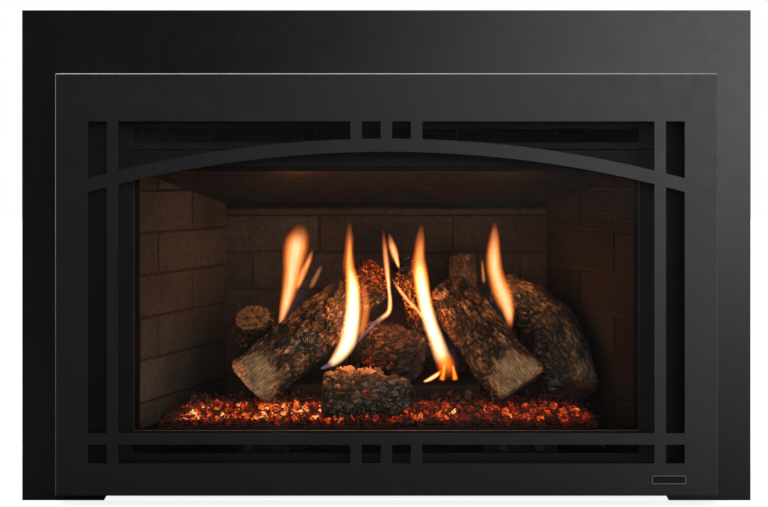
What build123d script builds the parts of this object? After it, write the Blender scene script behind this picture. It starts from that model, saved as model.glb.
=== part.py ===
from build123d import *
import math
import os

# A gas fireplace insert: steel shell, brick-lined firebox with a log set, sealed glass,
# a lift-off decorative front with a mesh screen, and a surround that closes the hearth.
# Millimetres. +Z up, the front faces -Y, the origin is under the middle of the whole insert.
# "Depth" is the distance behind the decorative front's outer face.

# ---- sheet and fits ----
sheet = 1.5
frontSheet = 2.0
fitGap = 0.3
runGap = 0.05
plateProud = 1.2

# ---- overall ----
bodyDepth = 460.0
surroundWidth = 1112.0
surroundHeight = 748.0
surroundDepth = 38.0
surroundReturn = 22.0

# ---- decorative front ----
frontLap = 34.0
frontHeight = 634.0
frontLift = 15.0
frontReturn = 36.5
frontEdgeRound = 1.6
sideRim = 49.4
bottomRim = 48.8
topRim = 72.0
windowSize = 28.2
barWidth = 17.2
archRise = 25.8
archRadius = 1710.0
archThick = 19.8

# ---- screen, hooks and name plate ----
screenFrameThick = 3.0
screenOverlap = 18.0
screenFrameLip = 4.5
meshThick = 1.0
meshStrip = 2.0
meshAcross = 24
meshUp = 12
hookHeight = 60.0
hookWidth = 17.0
hookDepth = 26.0
hookLift = 29.0
pegRadius = 3.5
pegHeadRadius = 5.5
pegHeadThick = 2.5
pegInset = 10.0
pegHeight = 549.0
badgeWidth = 51.0
badgeHeight = 12.8
badgeInset = 47.5
badgeLift = 18.0

# ---- appliance face ----
faceDepth = 45.0
slotHalf = 386.6
slotMargin = 25.4
stileWidth = 48.0
outletLow = 546.1
outletHigh = 567.4
bayLow = 70.8
bayHigh = 88.0
headerLow = 536.5
sillHigh = 92.0

# ---- shell ----
shellTop = 618.0
baseLift = 12.0
shellSetback = 5.0
shellTaper = 143.0
skidWidth = 10.0
skidFront = 110.0
skidLength = 140.0

# ---- glass door ----
glassFrameDepth = 43.0
glassFrameMargin = 23.9
glassFrameLow = 93.5
glassFrameHigh = 534.5
glassFrameReturn = 8.0
viewLow = 105.3
viewHigh = 509.5
glassThick = 4.0
glassMargin = 9.4
glassLow = 96.5
glassHigh = 521.0
gasketThick = 4.5
gasketMargin = 1.0
gasketInset = 1.0

# ---- firebox ----
cavityInset = 7.6
cavityLow = 106.0
cavityHigh = 503.0
flangeMargin = 21.0
wallInset = 2.7
wallTaper = 104.7
drawnBoxDepth = 295.2
drawnWallHalf = 381.7
rearSpace = 110.0
brickThick = 20.0
brickTop = 440.7
floorHeight = 100.0
boxTop = 520.0
hoodFront = 502.0
hoodRear = 444.5
hoodRearGap = 20.0
boxBackMargin = 23.0

# ---- burner and embers ----
burnerLeft = -150.0
burnerRight = 150.0
burnerFront = 146.0
burnerRear = 300.0
burnerTop = 160.0
portRadius = 2.0
portMargin = 15.0
pilotX = -66.0
pilotDepth = 284.0
pilotBaseHalf = 14.0
pilotBaseDeep = 18.0
pilotRadius = 6.0
pilotHeight = 30.0
probeSpread = 10.0
probeRadius = 1.5
probeHeight = 38.0
pinRadius = 4.0
portPitch = 18.0
portCount = 13
bedLeft = -358.0
bedRight = 334.0
bedFront = 75.0
bedFrontHeight = 7.0
bedMiddle = 112.0
bedMiddleHeight = 32.0
bedRearHeight = 34.0
moundLeft = -97.0
moundRight = -1.0
moundRear = 176.0
moundHeight = 24.0
logGap = 0.4

# ---- venting ----
collarRadius = 38.1
collarStep = 1.5
collarFoot = 2.5
ductWall = 1.0
collarTop = 680.0
collarSpread = 90.0
collarInset = 45.0
ventBoxHalf = 45.0
exhaustLow = 455.0
exhaustHigh = 545.0
intakeLow = 112.0
intakeHigh = 152.0
ventHoleHalf = 36.0
ventHoleMargin = 8.0

# ---- blower ----
blowerHeight = 58.0
blowerInset = 45.0
rotorRadius = 30.0
rotorLength = 84.0
rotorWall = 1.5
rotorStart = 62.0
shaftRadius = 4.0
motorRadius = 27.0
motorHalf = 42.0
scrollRadius = 37.0
scrollWall = 1.5
scrollStart = 56.0
scrollLength = 98.0
scrollMouth = 26.0
scrollFootDeep = 8.0
scrollFootLap = 1.0

# ---- gas valve and controls ----
valveLeft = -236.0
valveRight = -150.0
valveFront = 88.0
valveRear = 150.0
valveLow = 40.0
valveHigh = 94.0
valveFootHalf = 18.0
knobHeight = 79.0
knobRadius = 9.0
knobFront = 58.0
knobLength = 16.0
knobBoreDepth = 10.0
spindleRadius = 3.0
spindleEndGap = 1.0
gripWidth = 3.0
gripRise = 3.0
valveKnobX = -214.0
flameKnobX = -172.0
controlLeft = 150.0
controlRight = 266.0
controlFront = 76.0
controlRear = 132.0
controlHigh = 94.0
rockerX = 180.0
rockerWidth = 12.0
rockerHeight = 18.0
rockerDepth = 9.0
rockerProud = 3.0
rockerSwing = 1.6
rockerPinRadius = 1.5
speedKnobX = 236.0
pipeRadius = 5.0
inletHeight = 62.0
nippleRadius = 10.5
nippleBore = 6.5
nippleLength = 24.0
burnerPipeX = -120.0
burnerPipeDepth = 182.0
burnerPipeTop = 130.0
burnerPipeTurn = 16.0
valvePortInset = 16.0
inletPipeBack = 300.0
inletPipeJog = 220.0
inletPipeTurn = 40.0

# ---- latches ----
latchInset = 56.6
latchPivotDepth = 58.0
latchPivotHeight = 84.5
latchThick = 3.0
latchBoss = 4.5
latchPinRadius = 2.0
latchArm = 5.0
latchFingerFront = 36.3
latchFingerThick = 3.0
latchFingerHigh = 101.0
latchEarGap = 3.0
latchEarRear = 64.0
latchEarLow = 77.0

# ---- fixings ----
bracketLap = 30.0
bracketReach = 29.0
bracketHeight = 22.0
bracketLows = (22.0, 592.0)
screwInset = 15.0
screwRadius = 2.0
screwHeadRadius = 4.0
screwHeadThick = 2.2
screwLength = 8.0
legInset = 62.0
legRearInset = 30.0
legRadius = 5.0
legTop = 40.0
legPadRadius = 14.0
legPadThick = 3.0
legBossRadius = 10.0
legBossHigh = 22.0

# ---- surround outline ----
surroundGap = 3.0
surroundHeaderLow = 626.0
tabToeReach = 32.0
tabReach = 39.0
tabSlope = 12.5
tabHeight = 24.0

# Derived places. Widths across the front follow the glass opening, and rear places follow
# the body's depth. faceY puts the middle of the whole depth on the origin.
stileInner = slotHalf + slotMargin
faceHalf = stileInner + stileWidth
screwX = faceHalf - screwInset
bracketInner = faceHalf - bracketLap
surroundInner = faceHalf + surroundGap
bracketOuter = surroundInner + bracketReach
frontWidth = 2 * (surroundInner + frontLap)
tabToe = surroundInner - tabToeReach
tabInner = surroundInner - tabReach
shellFrontHalf = faceHalf - shellSetback
shellRearHalf = shellFrontHalf - shellTaper
legX = shellRearHalf - legInset
inletX = -legX
ductRadius = collarRadius - collarStep
legDepth = bodyDepth - legRearInset
collarDepth = bodyDepth - collarInset
blowerDepth = bodyDepth - blowerInset
glassFrameHalf = slotHalf + glassFrameMargin
latchX = slotHalf - latchInset
glassHalf = slotHalf + glassMargin
cavityHalf = slotHalf - cavityInset
wallFrontHalf = cavityHalf + wallInset
wallRearHalf = wallFrontHalf - wallTaper
wallRearDepth = bodyDepth - rearSpace
boxBackHalf = wallRearHalf + boxBackMargin
faceY = plateProud / 2 - bodyDepth / 2
baseTop = baseLift + sheet
floorTop = floorHeight + sheet
frontTop = frontLift + frontHeight
fieldHalf = frontWidth / 2 - sideRim
fieldLow = frontLift + bottomRim
fieldHigh = frontTop - topRim
archTop = fieldHigh - archRise
archCentre = archTop - archRadius
mainHalf = fieldHalf - windowSize - barWidth
mainLow = fieldLow + windowSize + barWidth
meshDepth = frontSheet + screenFrameThick
gasketDepth = glassFrameDepth + sheet + glassThick
flangeDepth = gasketDepth + gasketThick + fitGap
boxFront = flangeDepth + sheet
boxScale = (wallRearDepth - boxFront) / drawnBoxDepth
sideScale = wallFrontHalf / drawnWallHalf
wallSlope = (wallFrontHalf - wallRearHalf) / (wallRearDepth - boxFront)
wallCos = math.cos(math.atan(wallSlope))
brickAcross = brickThick / wallCos
plateAcross = sheet / wallCos
boxBackDepth = wallRearDepth + brickThick
shellSlope = (shellFrontHalf - shellRearHalf) / (bodyDepth - faceDepth - sheet)
hoodSlope = (hoodFront - hoodRear) / (wallRearDepth - boxFront)


def deep(depth):
    """The y of a depth behind the decorative front's face."""
    return faceY + depth


def panel(depth):
    """A plane facing forward at a depth, with x to the right and z up."""
    return Plane(origin=(0, deep(depth), 0), x_dir=(1, 0, 0), z_dir=(0, -1, 0))


def profile(x):
    """A plane facing right at x, with y away from the viewer and z up."""
    return Plane(origin=(x, 0, 0), x_dir=(0, 1, 0), z_dir=(1, 0, 0))


def patch(x0, x1, z0, z1, mode=Mode.ADD):
    """A rectangle in the open sketch, by its edges."""
    with Locations(((x0 + x1) / 2, (z0 + z1) / 2)):
        Rectangle(x1 - x0, z1 - z0, mode=mode)


def block(x0, x1, d0, d1, z0, z1, mode=Mode.ADD):
    """A box in the open part, by its faces; d0 and d1 are depths."""
    with Locations(((x0 + x1) / 2, deep((d0 + d1) / 2), (z0 + z1) / 2)):
        Box(x1 - x0, d1 - d0, z1 - z0, mode=mode)


def polygon(points, mode=Mode.ADD):
    """A straight-sided face in the open sketch, its corners where they are given."""
    Polygon(*points, align=None, mode=mode)


def rod(place, direction, radius, length, mode=Mode.ADD):
    """A cylinder in the open part from a place along a direction; the place holds a depth."""
    with Locations(Plane(origin=(place[0], deep(place[1]), place[2]), z_dir=direction)):
        Cylinder(radius, length, align=(Align.CENTER, Align.CENTER, Align.MIN), mode=mode)


def wallHalf(depth):
    """Half the clear width between the brick walls at a depth."""
    return wallFrontHalf - wallSlope * (depth - boxFront)


def shellHalf(depth):
    """Half the shell's width at a depth."""
    return shellFrontHalf - shellSlope * (depth - faceDepth - sheet)


def hoodHeight(depth):
    """The height of the hood's underside at a depth."""
    return hoodFront - hoodSlope * (depth - boxFront)


def inBox(depth):
    """A depth among the logs, kept in proportion when the firebox is deeper or shallower."""
    return boxFront + (depth - boxFront) * boxScale


def across(x):
    """An x among the logs, kept in proportion when the firebox is wider or narrower."""
    return x * sideScale


def mirrored(side, near, far):
    """Two distances from the middle as a rising pair of x on one side."""
    return sorted((side * near, side * far))


def keep(name, piece):
    """Labels a finished piece and writes it to its own file."""
    piece.label = name
    export_step(piece, "parts/" + name + ".step")


os.makedirs("parts", exist_ok=True)
forward = (0, -1, 0)
up = (0, 0, 1)
right = (1, 0, 0)

# ---------------------------------------------------------------- decorative front
with BuildSketch() as arch_band:
    with Locations((0, archCentre)):
        Circle(archRadius)
        Circle(archRadius - archThick, mode=Mode.SUBTRACT)
    with Locations((0, archTop)):
        Rectangle(2 * fieldHalf, 2 * archRise + frontHeight / 2, mode=Mode.INTERSECT)

with BuildSketch() as arched_window:
    with Locations((0, archCentre)):
        Circle(archRadius - archThick)
    with Locations((0, (mainLow + archTop) / 2)):
        Rectangle(2 * mainHalf, archTop - mainLow, mode=Mode.INTERSECT)

with BuildSketch() as window_pattern:
    patch(-fieldHalf, fieldHalf, fieldLow, fieldHigh)
    innerBar = barWidth + windowSize
    for barMiddle in (-innerBar, 0, innerBar):
        patch(barMiddle - barWidth / 2, barMiddle + barWidth / 2, fieldLow, fieldHigh, Mode.SUBTRACT)
    add(arched_window.sketch)
    for side in (-1, 1):
        barMiddle = side * (mainHalf + barWidth / 2)
        patch(barMiddle - barWidth / 2, barMiddle + barWidth / 2, fieldLow, fieldHigh, Mode.SUBTRACT)
    patch(-fieldHalf, fieldHalf, mainLow - barWidth, mainLow, Mode.SUBTRACT)
    add(arch_band.sketch, mode=Mode.SUBTRACT)

with BuildPart() as front_panel:
    with BuildSketch(panel(0)):
        patch(-frontWidth / 2, frontWidth / 2, frontLift, frontTop)
    extrude(amount=-frontReturn)
    frontEdges = front_panel.faces().sort_by(Axis.Y)[0].edges()
    fillet(frontEdges + front_panel.edges().filter_by(Axis.Y), radius=frontEdgeRound)
    inner = frontWidth / 2 - frontSheet
    block(-inner, inner, frontSheet, frontReturn, frontLift + frontSheet, frontTop - frontSheet,
          Mode.SUBTRACT)
    with BuildSketch(panel(0)):
        add(window_pattern.sketch)
    extrude(amount=-frontSheet, mode=Mode.SUBTRACT)
keep("front_panel", front_panel.part)

screenHalf = fieldHalf + screenOverlap
screenLow = fieldLow - screenOverlap
screenHigh = fieldHigh + screenOverlap
with BuildPart() as screen_frame:
    with BuildSketch(panel(frontSheet)):
        patch(-screenHalf, screenHalf, screenLow, screenHigh)
        frameHole = fieldHalf + screenFrameLip
        patch(-frameHole, frameHole, fieldLow - screenFrameLip, fieldHigh + screenFrameLip, Mode.SUBTRACT)
    extrude(amount=-screenFrameThick)
keep("screen_frame", screen_frame.part)

# The net's wires, upright ones in front and level ones close behind them.
with BuildPart() as screen_mesh:
    wireDeep = (meshThick - runGap) / 2
    pitchAcross = (2 * screenHalf - meshStrip) / meshAcross
    pitchUp = (screenHigh - screenLow - meshStrip) / meshUp
    for column in range(meshAcross + 1):
        left = column * pitchAcross - screenHalf
        block(left, left + meshStrip, meshDepth, meshDepth + wireDeep, screenLow, screenHigh)
    netRear = meshDepth + meshThick
    for row in range(meshUp + 1):
        low = screenLow + row * pitchUp
        block(-screenHalf, screenHalf, netRear - wireDeep, netRear, low, low + meshStrip)
keep("screen_mesh", screen_mesh.part)

pegX = frontWidth / 2 - pegInset
hookOuter = frontWidth / 2 - frontSheet
hookLow = pegHeight - hookLift
with BuildPart() as front_hooks:
    for side in (-1, 1):
        with BuildSketch(panel(hookDepth)):
            inside, outside = mirrored(side, hookOuter - hookWidth, hookOuter)
            patch(inside, outside, hookLow, hookLow + hookHeight)
            slotHalfWidth = pegRadius + fitGap
            patch(side * pegX - slotHalfWidth, side * pegX + slotHalfWidth, hookLow, pegHeight, Mode.SUBTRACT)
            with Locations((side * pegX, pegHeight)):
                Circle(slotHalfWidth, mode=Mode.SUBTRACT)
        extrude(amount=-frontSheet)
        inside, outside = mirrored(side, hookOuter - frontSheet, hookOuter)
        block(inside, outside, meshDepth, hookDepth, hookLow, hookLow + hookHeight)
keep("front_hooks", front_hooks.part)

with BuildPart() as name_plate:
    badgeRight = frontWidth / 2 - badgeInset
    with BuildSketch(panel(0)):
        patch(badgeRight - badgeWidth, badgeRight, frontLift + badgeLift, frontLift + badgeLift + badgeHeight)
    extrude(amount=plateProud)
    fillet(name_plate.edges().filter_by(Axis.Y), radius=plateProud)
keep("name_plate", name_plate.part)

# ---------------------------------------------------------------- surround
with BuildPart() as surround_panel:
    with BuildSketch(panel(surroundDepth)):
        outer = surroundWidth / 2
        rightLeg = [(tabToe, 0), (tabInner, tabSlope), (tabInner, tabHeight), (surroundInner, tabHeight)]
        rightLeg += [(surroundInner, surroundHeaderLow)]
        leftLeg = [(-x, z) for x, z in reversed(rightLeg)]
        corners = [(-outer, 0), (-outer, surroundHeight), (outer, surroundHeight), (outer, 0)]
        polygon(corners + rightLeg + leftLeg)
    extrude(amount=-sheet)
    returnEnd = surroundDepth + surroundReturn
    block(-outer, outer, surroundDepth + sheet, returnEnd, surroundHeight - sheet, surroundHeight)
    for side in (-1, 1):
        inside, outside = mirrored(side, outer - sheet, outer)
        block(inside, outside, surroundDepth + sheet, returnEnd, 0, surroundHeight)
keep("surround_panel", surround_panel.part)

with BuildPart() as hanger_pegs:
    for side in (-1, 1):
        headFront = hookDepth - fitGap - pegHeadThick
        headRear = headFront + pegHeadThick
        rod((side * pegX, surroundDepth, pegHeight), forward, pegRadius, surroundDepth - headRear)
        rod((side * pegX, headRear, pegHeight), forward, pegHeadRadius, pegHeadThick)
keep("hanger_pegs", hanger_pegs.part)

with BuildPart() as surround_brackets:
    for low in bracketLows:
        for side in (-1, 1):
            backOfSurround = deep(surroundDepth + sheet)
            frontOfFace = deep(faceDepth)
            step = surroundInner + sheet
            outline = [(bracketInner, frontOfFace), (bracketInner, frontOfFace - sheet)]
            outline += [(surroundInner, frontOfFace - sheet), (surroundInner, backOfSurround)]
            outline += [(bracketOuter, backOfSurround), (bracketOuter, backOfSurround + sheet)]
            outline += [(step, backOfSurround + sheet), (step, frontOfFace)]
            with BuildSketch(Plane.XY.offset(low)):
                polygon([(side * x, y) for x, y in outline])
            extrude(amount=bracketHeight)
            screwPlace = (side * screwX, faceDepth, low + bracketHeight / 2)
            rod(screwPlace, forward, screwRadius + runGap, sheet, Mode.SUBTRACT)
keep("surround_brackets", surround_brackets.part)

with BuildPart() as bracket_screws:
    for low in bracketLows:
        for side in (-1, 1):
            middle = low + bracketHeight / 2
            rod((side * screwX, faceDepth - sheet, middle), forward, screwHeadRadius, screwHeadThick)
            rod((side * screwX, faceDepth - sheet + screwLength, middle), forward, screwRadius, screwLength)
keep("bracket_screws", bracket_screws.part)

# ---------------------------------------------------------------- appliance face
with BuildPart() as face_header:
    with BuildSketch(panel(faceDepth)):
        patch(-stileInner, stileInner, headerLow, shellTop)
        patch(-slotHalf, slotHalf, outletLow, outletHigh, Mode.SUBTRACT)
    extrude(amount=-sheet)
keep("face_header", face_header.part)

with BuildPart() as face_sill:
    with BuildSketch(panel(faceDepth)):
        patch(-stileInner, stileInner, baseTop, sillHigh)
        patch(-slotHalf, slotHalf, bayLow, bayHigh, Mode.SUBTRACT)
    extrude(amount=-sheet)
    for side in (-1, 1):
        for ear in (-latchEarGap - sheet, latchEarGap):
            earLeft = side * latchX + latchThick / 2 * (1 if ear > 0 else -1) + ear
            block(earLeft, earLeft + sheet, faceDepth + sheet, latchEarRear, latchEarLow, sillHigh)
            pinStart = (earLeft - sheet, latchPivotDepth, latchPivotHeight)
            rod(pinStart, right, latchPinRadius + runGap, 3 * sheet, Mode.SUBTRACT)
keep("face_sill", face_sill.part)

for side, name in ((-1, "face_left"), (1, "face_right")):
    with BuildPart() as face_stile:
        with BuildSketch(panel(faceDepth)):
            inside, outside = mirrored(side, stileInner, faceHalf)
            patch(inside, outside, baseTop, shellTop)
        extrude(amount=-sheet)
        for low in bracketLows:
            place = (side * screwX, faceDepth + sheet, low + bracketHeight / 2)
            rod(place, forward, screwRadius + runGap, sheet, Mode.SUBTRACT)
    keep(name, face_stile.part)

# ---------------------------------------------------------------- outer shell
shellStart = faceDepth + sheet
shellPlan = [
    (-shellHalf(shellStart), deep(shellStart)),
    (shellHalf(shellStart), deep(shellStart)),
    (shellHalf(bodyDepth), deep(bodyDepth)),
    (-shellHalf(bodyDepth), deep(bodyDepth)),
]
with BuildPart() as base_pan:
    with BuildSketch(Plane.XY.offset(baseLift)):
        polygon(shellPlan)
    extrude(amount=sheet)
    for side in (-1, 1):
        skidLeft = side * legX - skidWidth / 2
        block(skidLeft, skidLeft + skidWidth, skidFront, skidFront + skidLength, 0, baseLift)
        rod((side * legX, legDepth, baseTop), up, legBossRadius, legBossHigh - baseTop)
        rod((side * legX, legDepth, baseLift), up, legRadius + runGap, legBossHigh - baseLift, Mode.SUBTRACT)
keep("base_pan", base_pan.part)

for side, name in ((-1, "shell_left"), (1, "shell_right")):
    with BuildPart() as shell_side:
        rearEnd = bodyDepth - sheet
        sideAcross = sheet * math.sqrt(1 + shellSlope**2)
        with BuildSketch(Plane.XY.offset(baseTop)):
            outline = [(shellHalf(shellStart), deep(shellStart)), (shellHalf(rearEnd), deep(rearEnd))]
            outline += [(x - sideAcross, y) for x, y in reversed(outline)]
            polygon([(side * x, y) for x, y in outline])
        extrude(amount=shellTop - baseTop)
    keep(name, shell_side.part)

with BuildPart() as shell_back:
    rearHalf = shellHalf(bodyDepth)
    block(-rearHalf, rearHalf, bodyDepth - sheet, bodyDepth, baseTop, shellTop)
    rod((inletX, bodyDepth, inletHeight), forward, nippleRadius + runGap, sheet, Mode.SUBTRACT)
keep("shell_back", shell_back.part)

with BuildPart() as shell_top:
    with BuildSketch(Plane.XY.offset(shellTop)):
        polygon(shellPlan)
        with Locations((-collarSpread, deep(collarDepth)), (collarSpread, deep(collarDepth))):
            Circle(ductRadius + fitGap, mode=Mode.SUBTRACT)
    extrude(amount=sheet)
keep("shell_top", shell_top.part)

for side, name in ((-1, "foot_left"), (1, "foot_right")):
    with BuildPart() as leg:
        rod((side * legX, legDepth, 0), up, legPadRadius, legPadThick)
        rod((side * legX, legDepth, legPadThick), up, legRadius, legTop - legPadThick)
    keep(name, leg.part)

# ---------------------------------------------------------------- glass door
with BuildPart() as glass_frame:
    block(-glassFrameHalf, glassFrameHalf, glassFrameDepth, glassFrameDepth + glassFrameReturn,
          glassFrameLow, glassFrameHigh)
    innerHalf = glassFrameHalf - sheet
    block(-innerHalf, innerHalf, glassFrameDepth + sheet, glassFrameDepth + glassFrameReturn,
          glassFrameLow + sheet, glassFrameHigh - sheet, Mode.SUBTRACT)
    block(-slotHalf, slotHalf, glassFrameDepth, glassFrameDepth + sheet, viewLow, viewHigh, Mode.SUBTRACT)
keep("glass_frame", glass_frame.part)

with BuildPart() as glass_pane:
    paneDepth = glassFrameDepth + sheet
    block(-glassHalf, glassHalf, paneDepth, paneDepth + glassThick, glassLow, glassHigh)
keep("glass_pane", glass_pane.part)

with BuildPart() as glass_gasket:
    with BuildSketch(panel(gasketDepth)):
        outerHalf = glassHalf - gasketMargin
        patch(-outerHalf, outerHalf, glassLow + gasketMargin, glassHigh - gasketMargin)
        innerHalf = slotHalf + gasketInset
        patch(-innerHalf, innerHalf, viewLow - gasketInset, viewHigh + gasketInset, Mode.SUBTRACT)
    extrude(amount=-gasketThick)
keep("glass_gasket", glass_gasket.part)

# ---------------------------------------------------------------- firebox
with BuildPart() as firebox_flange:
    with BuildSketch(panel(flangeDepth)):
        outerHalf = cavityHalf + flangeMargin
        patch(-outerHalf, outerHalf, floorHeight - 2 * sheet, cavityHigh + flangeMargin)
        patch(-cavityHalf, cavityHalf, cavityLow, cavityHigh, Mode.SUBTRACT)
    extrude(amount=-sheet)
keep("firebox_flange", firebox_flange.part)

boxEnd = boxBackDepth
boxPlan = [
    (-wallHalf(boxFront) - brickAcross - plateAcross, deep(boxFront)),
    (wallHalf(boxFront) + brickAcross + plateAcross, deep(boxFront)),
    (wallHalf(boxEnd) + brickAcross + plateAcross, deep(boxEnd)),
    (-wallHalf(boxEnd) - brickAcross - plateAcross, deep(boxEnd)),
]
with BuildPart() as firebox_floor:
    with BuildSketch(Plane.XY.offset(floorHeight)):
        polygon(boxPlan)
    extrude(amount=sheet)
    rod((burnerPipeX, burnerPipeDepth, floorHeight), up, pipeRadius + runGap, sheet, Mode.SUBTRACT)
keep("firebox_floor", firebox_floor.part)

with BuildPart() as firebox_top:
    with BuildSketch(Plane.XY.offset(boxTop)):
        polygon(boxPlan)
    extrude(amount=sheet)
keep("firebox_top", firebox_top.part)

with BuildPart() as firebox_back:
    with BuildSketch(panel(boxBackDepth)):
        patch(-boxBackHalf, boxBackHalf, floorHeight, boxTop + sheet)
        low = exhaustLow + ventHoleMargin
        high = boxTop - ventHoleMargin
        patch(-collarSpread - ventHoleHalf, -collarSpread + ventHoleHalf, low, high, Mode.SUBTRACT)
        patch(collarSpread - ventHoleHalf, collarSpread + ventHoleHalf, intakeLow + ventHoleMargin,
              intakeHigh - ventHoleMargin, Mode.SUBTRACT)
    extrude(amount=-sheet)
keep("firebox_back", firebox_back.part)

hoodSide = [
    (deep(boxFront), floorTop),
    (deep(boxFront), hoodHeight(boxFront)),
    (deep(wallRearDepth), hoodHeight(wallRearDepth)),
    (deep(wallRearDepth), floorTop),
]
for side, hand in ((-1, "left"), (1, "right")):
    with BuildPart() as brick_wall:
        with BuildSketch(Plane.XY.offset(floorTop)):
            inside = [(wallHalf(depth), deep(depth)) for depth in (boxFront, wallRearDepth)]
            outline = inside + [(x + brickAcross, y) for x, y in reversed(inside)]
            polygon([(side * x, y) for x, y in outline])
        extrude(amount=boxTop - floorTop)
        with BuildSketch(profile(-surroundWidth / 2)):
            polygon(hoodSide)
        extrude(amount=surroundWidth, mode=Mode.INTERSECT)
    keep("brick_" + hand, brick_wall.part)
    with BuildPart() as box_wall:
        with BuildSketch(Plane.XY.offset(floorTop)):
            inside = [(wallHalf(depth) + brickAcross, deep(depth)) for depth in (boxFront, boxEnd)]
            outline = inside + [(x + plateAcross, y) for x, y in reversed(inside)]
            polygon([(side * x, y) for x, y in outline])
        extrude(amount=boxTop - floorTop)
    keep("firebox_" + hand, box_wall.part)

with BuildPart() as brick_back:
    backHalf = wallHalf(boxEnd) + brickAcross
    block(-backHalf, backHalf, wallRearDepth, boxEnd, floorTop, brickTop)
keep("brick_back", brick_back.part)

with BuildPart() as firebox_hood:
    hoodEnd = wallRearDepth - hoodRearGap
    with BuildSketch(Plane.XY.offset(floorTop)):
        inside = [(wallHalf(depth) + brickAcross, deep(depth)) for depth in (boxFront, hoodEnd)]
        polygon(inside + [(-x, y) for x, y in reversed(inside)])
    extrude(amount=boxTop - floorTop)
    with BuildSketch(profile(-surroundWidth / 2)):
        under = [(deep(depth), hoodHeight(depth)) for depth in (boxFront, hoodEnd)]
        polygon(under + [(y, z + sheet) for y, z in reversed(under)])
    extrude(amount=surroundWidth, mode=Mode.INTERSECT)
keep("firebox_hood", firebox_hood.part)

# ---------------------------------------------------------------- burner, embers and logs
trayFront = inBox(burnerFront)
trayRear = inBox(burnerRear)
burnerPortRows = (trayFront + portMargin, (trayFront + trayRear) / 2, trayRear - portMargin)
with BuildPart() as burner_box:
    block(burnerLeft, burnerRight, trayFront, trayRear, floorTop, burnerTop)
    block(burnerLeft + sheet, burnerRight - sheet, trayFront + sheet, trayRear - sheet,
          floorTop + sheet, burnerTop - sheet, Mode.SUBTRACT)
    rod((burnerPipeX, burnerPipeDepth, floorTop), up, pipeRadius + runGap, sheet, Mode.SUBTRACT)
    for row in burnerPortRows:
        with Locations(((burnerLeft + burnerRight) / 2, deep(row), burnerTop)):
            with GridLocations(portPitch, portPitch, portCount, 1):
                Hole(portRadius, depth=sheet)
keep("burner_box", burner_box.part)

# Each log: stations of x, depth, height and radius along its length.
logStations = {
    "log_front_left": [(-215, 114, 170, 43), (-112, 172, 252, 42), (-12, 230, 330, 34)],
    "log_rear_left": [(-224, 196, 262, 29), (-205, 300, 120.3, 31)],
    "log_front_center": [(-102, 106, 146, 36), (38, 107, 148, 34)],
    "log_center": [(-26, 218, 218, 41), (44, 166, 204, 44)],
    "log_upper_center": [(28, 276, 342, 19), (84, 240, 190, 23)],
    "log_right": [(100, 236, 302, 38), (212, 112, 162, 47)],
    "log_right_stub": [(131, 308, 362, 19), (138, 304, 266, 26)],
    "log_right_outer": [(194, 270, 300, 33), (270, 208, 250, 41), (297, 138, 150, 43)],
}


def logSection(stations, index):
    """The plane across a log at one of its stations."""
    here = [Vector(across(x), deep(inBox(depth)), z) for x, depth, z, radius in stations]
    before = here[max(index - 1, 0)]
    after = here[min(index + 1, len(here) - 1)]
    return Plane(origin=here[index], z_dir=after - before)


logClearances = {}
for name, stations in logStations.items():
    for extra in (0, logGap):
        with BuildPart() as log:
            for index, station in enumerate(stations):
                with BuildSketch(logSection(stations, index)):
                    Circle(station[3] + extra)
            loft()
        if extra:
            logClearances[name] = log.part
        else:
            keep(name, log.part)

with BuildPart() as ember_bed:
    with BuildSketch(profile(across(bedLeft))):
        bedEdge = deep(inBox(bedFront))
        outline = [(bedEdge, floorTop), (bedEdge, floorTop + bedFrontHeight)]
        outline += [(deep(inBox(bedMiddle)), floorTop + bedMiddleHeight)]
        outline += [(deep(trayFront), floorTop + bedRearHeight), (deep(trayFront), floorTop)]
        polygon(outline)
    extrude(amount=across(bedRight - bedLeft))
    with BuildSketch(Plane.XY.offset(floorTop)):
        edge = [(wallHalf(depth) - fitGap, deep(depth)) for depth in (boxFront, wallRearDepth)]
        polygon(edge + [(-x, y) for x, y in reversed(edge)])
    extrude(amount=boxTop - floorTop, mode=Mode.INTERSECT)
    block(across(moundLeft), across(moundRight), trayFront, inBox(moundRear), burnerTop,
          burnerTop + moundHeight)
    for clearance in logClearances.values():
        add(clearance, mode=Mode.SUBTRACT)
keep("ember_bed", ember_bed.part)

# Steel pins that carry the upper ends of the leaning logs: x, depth, foot height, top height.
pinPlaces = {
    "log_front_left": (-40, 222, burnerTop),
    "log_rear_left": (-222, 232, floorTop),
    "log_center": (-20, 214, burnerTop),
    "log_upper_center": (58, 244, burnerTop),
    "log_right": (118, 222, burnerTop),
    "log_right_stub": (138, 292, burnerTop),
    "log_right_outer": (222, 256, floorTop),
}
with BuildPart() as log_pins:
    for name, (x, depth, foot) in pinPlaces.items():
        rod((across(x), inBox(depth), foot), up, pinRadius, boxTop - foot)
    for name, (x, depth, foot) in pinPlaces.items():
        add(logClearances[name], mode=Mode.SUBTRACT)
    for piece in log_pins.solids().filter_by(lambda s: s.bounding_box().min.Z > burnerTop + pinRadius):
        add(piece, mode=Mode.SUBTRACT)
keep("log_pins", log_pins.part)

with BuildPart() as pilot_assembly:
    pilotBase = burnerTop + sheet
    pilotMiddle = inBox(pilotDepth)
    block(pilotX - pilotBaseHalf, pilotX + pilotBaseHalf, pilotMiddle - pilotBaseDeep / 2,
          pilotMiddle + pilotBaseDeep / 2, burnerTop, pilotBase)
    rod((pilotX, pilotMiddle, pilotBase), up, pilotRadius, pilotHeight)
    for side in (-1, 1):
        rod((pilotX + side * probeSpread, pilotMiddle, pilotBase), up, probeRadius, probeHeight)
keep("pilot_assembly", pilot_assembly.part)

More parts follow.
